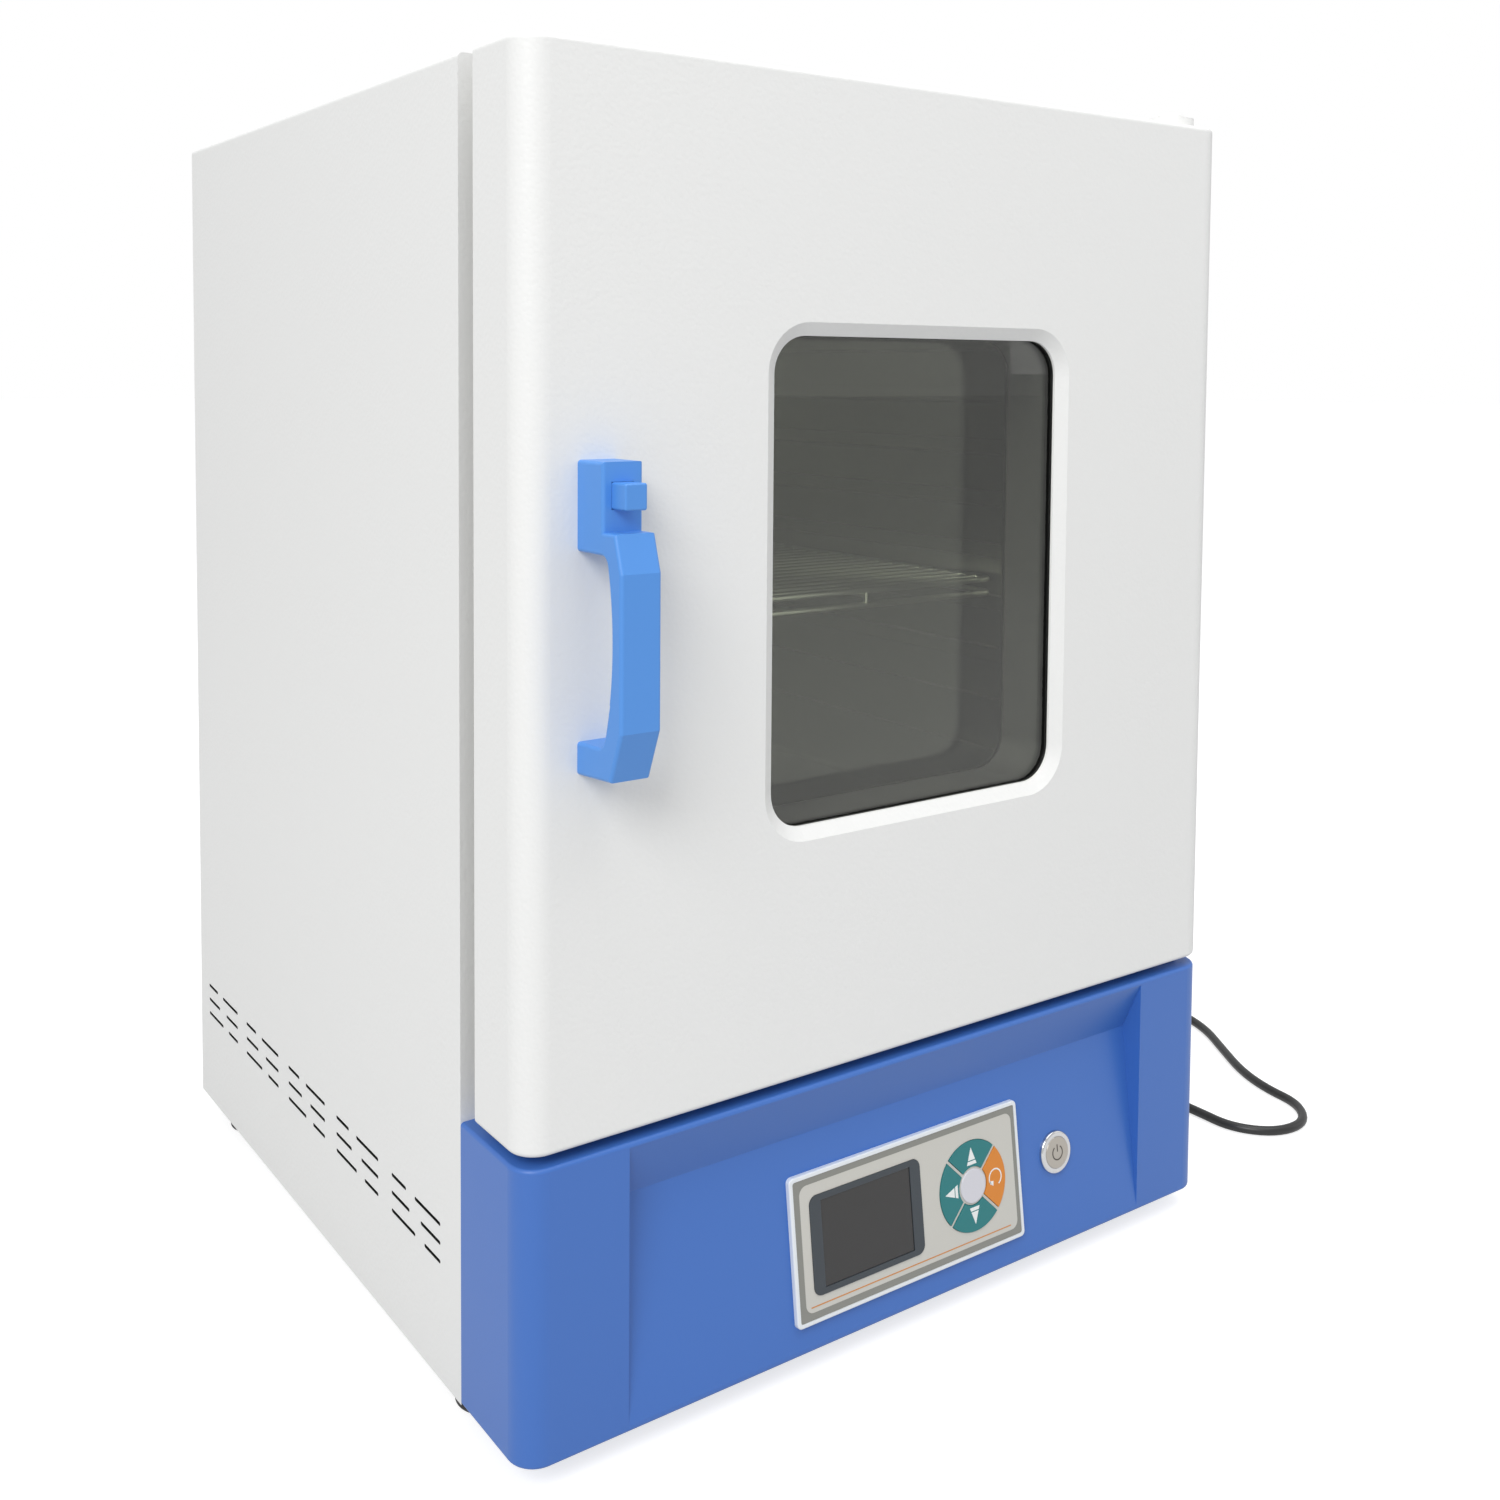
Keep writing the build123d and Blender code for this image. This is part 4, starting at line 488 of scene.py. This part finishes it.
cast_aluminium = new_finish("plain_aluminium", "#B4B5B6", Metallic=1.0, Roughness=0.42)[0]
dress(cast_aluminium, "relay_heat_sink", "fan_wheel", "fan_motor")
nickel_brass = new_finish("plug_pin_brass", "#C9B27C", Metallic=1.0, Roughness=0.25)[0]
dress(nickel_brass, "plug_pins")

# Insulation
# Slabs of mineral wool, straw coloured, with loose fibres.
mineral_wool, tree, shader = new_finish("mineral_wool", "#C8BE9A", Roughness=0.95)
place = add_node(tree, "ShaderNodeTexCoord")
fibres = add_node(
    tree, "ShaderNodeTexNoise", {"Scale": 300.0, "Detail": 6.0}, {"Vector": place.outputs["Object"]}
)
relief = add_node(
    tree, "ShaderNodeBump", {"Strength": 0.8, "Distance": 0.002}, {"Height": fibres.outputs["Fac"]}
)
tree.links.new(relief.outputs["Normal"], shader.inputs["Normal"])
dress(mineral_wool, "insulation", "door_insulation")

# Circuit boards
# Glass fibre board under green solder resist.
solder_resist = new_finish("green_solder_resist", "#1F5B36", Roughness=0.35)[0]
dress(solder_resist, "control_board", "supply_board")

# Door gasket
# Extruded silicone frame, pale and slightly see-through.
pale_silicone = new_finish("pale_silicone", "#D8D8D4", Roughness=0.5, IOR=1.43)[0]
dress(pale_silicone, "door_gasket")

# Panel frame
# White ABS moulding round the controls, polished smoother than the cover.
frame_white = new_finish("polished_white_abs", "#E4E8EB", Roughness=0.28, IOR=1.54)[0]
dress(frame_white, "panel_frame", "vent_cap")

# Panel overlay
# Polyester membrane printed light grey, with a darker border line, an orange rule and the
# display's window.
printed_film = new_finish("printed_polyester_film", "#C9C7BF", Roughness=0.32)[0]
dress(printed_film, "panel_overlay")
dark_bezel = new_finish("dark_display_bezel", "#353C42", Roughness=0.3)[0]
dress(dark_bezel, "display_bezel")
dark_display = new_finish("unlit_display", "#2E2D2C", Roughness=0.12)[0]
dress(dark_display, "display_screen")

console_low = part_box("console_cover")[0]
recess_foot = 0.0035
rise, run = 0.1112, 0.014
slope_length = sqrt(rise**2 + run**2)
panel_foot = np.array([0.0, console_low.y, console_low.z + recess_foot])
panel_up = np.array([0.0, run, rise]) / slope_length
panel_out = np.array([0.0, -rise, run]) / slope_length


def on_panel(x, up, out):
    """Points on the slanted panel: foot + x (1, 0, 0) + up * u + out * n."""
    x, up, out = np.broadcast_arrays(x, up, out)
    return (
        panel_foot
        + x[..., None] * np.array([1.0, 0.0, 0.0])
        + up[..., None] * panel_up
        + out[..., None] * panel_out
    )


def print_on_panel(outline, low, high):
    """A flat mark: its outline at two heights above the panel, skinned and capped."""
    return shell(
        np.stack([on_panel(outline[:, 0], outline[:, 1], height) for height in (low, high)])
    )


def ring_on_panel(outer, inner, low, high):
    """A flat ring: outer low, outer high, inner high, inner low, joined all round."""
    rows = [
        on_panel(loop[:, 0], loop[:, 1], height)
        for loop, height in ((outer, low), (outer, high), (inner, high), (inner, low))
    ]
    return shell(np.stack(rows), closed_along=True)


film_top = 0.0026
ink = 0.00006
panel_middle = np.array([0.0025, 0.052])
film_size = (0.1654, 0.0744)
light_field = (0.1588, 0.0673)
field_middle = panel_middle + (0.0007, 0.0001)
border_ink = new_finish("grey_border_ink", "#878780", Roughness=0.35)[0]
border_outer = rounded_loop(*film_size, 0.0012) + panel_middle
border_inner = rounded_loop(*light_field, 0.005) + field_middle
border = new_piece(
    "printed_border", border_ink, ring_on_panel(border_outer, border_inner, film_top, film_top + ink)
)
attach(border, "cabinet")

orange_ink = new_finish("orange_rule_ink", "#C9884A", Roughness=0.35)[0]
rule_size = (0.1498, 0.0007)
rule_middle = (0.0021, 0.02125)
rule = rounded_loop(*rule_size, 0.0002) + rule_middle
orange_rule = new_piece("printed_rule", orange_ink, print_on_panel(rule, film_top, film_top + ink))
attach(orange_rule, "cabinet")

# Keypad
# Four quarter-ring keys in printed film over tact switches, round a pale grey hub. White arrows
# are printed on the teal keys, and a turning arrow on the orange key.
hub_grey = new_finish("pale_grey_key_hub", "#D3D2D8", Roughness=0.3)[0]
dress(hub_grey, "keypad_hub")
key_teal = new_finish("printed_teal_key", "#117577", Roughness=0.32)[0]
dress(key_teal, "key_up", "key_left", "key_down")
key_orange = new_finish("printed_orange_key", "#D98324", Roughness=0.32)[0]
dress(key_orange, "key_set")

keypad_middle = np.array([0.049, 0.0521])
key_top = 0.0031
white_ink = new_finish("white_key_ink", "#E9ECEA", Roughness=0.35)[0]


def turned(outline, angle):
    """Turn a flat outline about the keypad's middle: x' = x cos a - y sin a, y' = x sin a + y cos a."""
    turn = np.array([[cos(angle), sin(angle)], [-sin(angle), cos(angle)]])
    return outline @ turn + keypad_middle


tip, break_at, gap, foot = 0.0217, 0.0147, 0.0006, 0.0121
half_base = 0.0038
half_at = half_base * (tip - break_at) / (tip - foot)
half_below = half_base * (tip - break_at + gap) / (tip - foot)
arrow_head = np.array([(-half_at, break_at), (half_at, break_at), (0.0001, tip), (-0.0001, tip)])
arrow_bar = np.array(
    [(-half_base, foot), (half_base, foot), (half_below, break_at - gap), (-half_below, break_at - gap)]
)
for key, angle in (("key_up", 0.0), ("key_left", np.pi / 2), ("key_down", np.pi)):
    sign = new_piece(
        key + "_arrow",
        white_ink,
        print_on_panel(turned(arrow_head, angle), key_top, key_top + ink),
        print_on_panel(turned(arrow_bar, angle), key_top, key_top + ink),
    )
    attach(sign, key)

sweep = np.linspace(radians(-60), radians(225), 40)
turn_middle = keypad_middle + (0.0177, 0.0)
outer_edge = turn_middle + 0.0052 * np.c_[np.cos(sweep), np.sin(sweep)]
inner_edge = turn_middle + 0.0044 * np.c_[np.cos(sweep), np.sin(sweep)]
open_ring = np.concatenate([outer_edge, inner_edge[::-1]])
barb = np.array([(-0.0055, -0.0013), (-0.0020, -0.0046), (-0.0016, -0.0017)]) + turn_middle
turning_arrow = new_piece(
    "key_set_arrow",
    white_ink,
    print_on_panel(open_ring, key_top, key_top + ink),
    print_on_panel(barb, key_top, key_top + ink),
)
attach(turning_arrow, "key_set")

# Power button
# Stainless push switch: a bright domed flange, and a satin cap with the usual power sign.
bright_steel = new_finish("polished_steel", "#CFCFCF", Metallic=1.0, Roughness=0.14)[0]
dress(bright_steel, "power_housing")
satin_steel = new_finish("satin_steel_cap", "#B5AFA6", Metallic=1.0, Roughness=0.36)[0]
dress(satin_steel, "power_button")
cap_middle = np.array([0.1194, 0.052])
cap_top = 0.0029
dark_engraving = new_finish("dark_engraving", "#4C4640", Roughness=0.5)[0]
sweep = np.linspace(radians(125), radians(415), 36)
outer_edge = cap_middle + 0.0045 * np.c_[np.cos(sweep), np.sin(sweep)]
inner_edge = cap_middle + 0.0037 * np.c_[np.cos(sweep), np.sin(sweep)]
power_ring = np.concatenate([outer_edge, inner_edge[::-1]])
power_stroke = rounded_loop(0.0008, 0.0044, 0.0003) + cap_middle + (0.0, 0.0028)
power_sign = new_piece(
    "power_sign",
    dark_engraving,
    print_on_panel(power_ring, cap_top, cap_top + ink),
    print_on_panel(power_stroke, cap_top, cap_top + ink),
)
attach(power_sign, "power_button")

# Studio
# A plain pale floor, a bright even surround, and three large soft lamps. The camera sees the
# floor and the surround as white, and polished surfaces mirror a part of that white.
floor_mesh = bpy.data.meshes.new("studio_floor")
reach = 30.0
white_of_floor_mirrored = 0.6
white_of_surround_mirrored = 0.4
floor_mesh.from_pydata(
    [(-reach, -reach, 0), (reach, -reach, 0), (reach, reach, 0), (-reach, reach, 0)],
    [],
    [(0, 1, 2, 3)],
)
studio_floor = bpy.data.objects.new("studio_floor", floor_mesh)
bpy.context.scene.collection.objects.link(studio_floor)
floor_paint, tree, shader = new_finish("pale_floor", "#BEBEBE", Roughness=0.9)
shader.inputs["Specular IOR Level"].default_value = 0.1
route = add_node(tree, "ShaderNodeLightPath")
mirrored = add_node(tree, "ShaderNodeMath", operation="MULTIPLY")
mirrored.inputs[1].default_value = white_of_floor_mirrored
tree.links.new(route.outputs["Is Glossy Ray"], mirrored.inputs[0])
seen = add_node(tree, "ShaderNodeMath", operation="MAXIMUM")
tree.links.new(route.outputs["Is Camera Ray"], seen.inputs[0])
tree.links.new(mirrored.outputs[0], seen.inputs[1])
glow = add_node(tree, "ShaderNodeEmission", {"Color": (1, 1, 1, 1), "Strength": 0.7})
dark = add_node(tree, "ShaderNodeEmission", {"Color": (0, 0, 0, 1), "Strength": 0.0})
lift_light = add_node(tree, "ShaderNodeMixShader", None, {"Fac": seen.outputs[0]})
tree.links.new(dark.outputs[0], lift_light.inputs[1])
tree.links.new(glow.outputs[0], lift_light.inputs[2])
both = add_node(tree, "ShaderNodeAddShader")
tree.links.new(shader.outputs[0], both.inputs[0])
tree.links.new(lift_light.outputs[0], both.inputs[1])
tree.links.new(both.outputs[0], tree.nodes["Material Output"].inputs["Surface"])
floor_mesh.materials.append(floor_paint)

world = bpy.data.worlds.new("studio")
bpy.context.scene.world = world
world.use_nodes = True
tree = world.node_tree
surround = tree.nodes["Background"]
surround.inputs["Color"].default_value = (0.97, 0.98, 1.0, 1.0)
surround.inputs["Strength"].default_value = 0.6
backdrop = add_node(tree, "ShaderNodeBackground", {"Color": (1, 1, 1, 1), "Strength": 1.0})
route = add_node(tree, "ShaderNodeLightPath")
seen = add_node(tree, "ShaderNodeMath", operation="MAXIMUM")
tree.links.new(route.outputs["Is Camera Ray"], seen.inputs[0])
tree.links.new(route.outputs["Is Transmission Ray"], seen.inputs[1])
mirrored = add_node(tree, "ShaderNodeMath", operation="MULTIPLY")
mirrored.inputs[1].default_value = white_of_surround_mirrored
tree.links.new(route.outputs["Is Glossy Ray"], mirrored.inputs[0])
seen_too = add_node(tree, "ShaderNodeMath", operation="MAXIMUM")
tree.links.new(seen.outputs[0], seen_too.inputs[0])
tree.links.new(mirrored.outputs[0], seen_too.inputs[1])
choice = add_node(tree, "ShaderNodeMixShader", None, {"Fac": seen_too.outputs[0]})
tree.links.new(surround.outputs[0], choice.inputs[1])
tree.links.new(backdrop.outputs[0], choice.inputs[2])
tree.links.new(choice.outputs[0], tree.nodes["World Output"].inputs["Surface"])

for name, place_at, aim_at, size, power in (
    ("key_lamp", (-2.6, -2.0, 2.6), (0.0, -0.1, 0.4), 1.8, 82.0),
    ("top_lamp", (0.3, -0.6, 3.0), (0.0, 0.0, 0.4), 2.2, 34.0),
    ("fill_lamp", (2.6, -1.6, 1.4), (0.0, 0.0, 0.4), 1.8, 5.0),
):
    lamp_data = bpy.data.lights.new(name, "AREA")
    lamp_data.size = size
    lamp_data.energy = power
    lamp = bpy.data.objects.new(name, lamp_data)
    away = np.array(place_at) - np.array(aim_at)
    away = away / np.linalg.norm(away)
    side_on = np.cross((0, 0, 1), away)
    side_on = side_on / np.linalg.norm(side_on)
    above = np.cross(away, side_on)
    lamp.matrix_world = Matrix.Translation(place_at) @ Matrix(
        np.stack([side_on, above, away], 1).tolist()
    ).to_4x4()
    bpy.context.scene.collection.objects.link(lamp)
bpy.context.scene.view_settings.view_transform = "Standard"
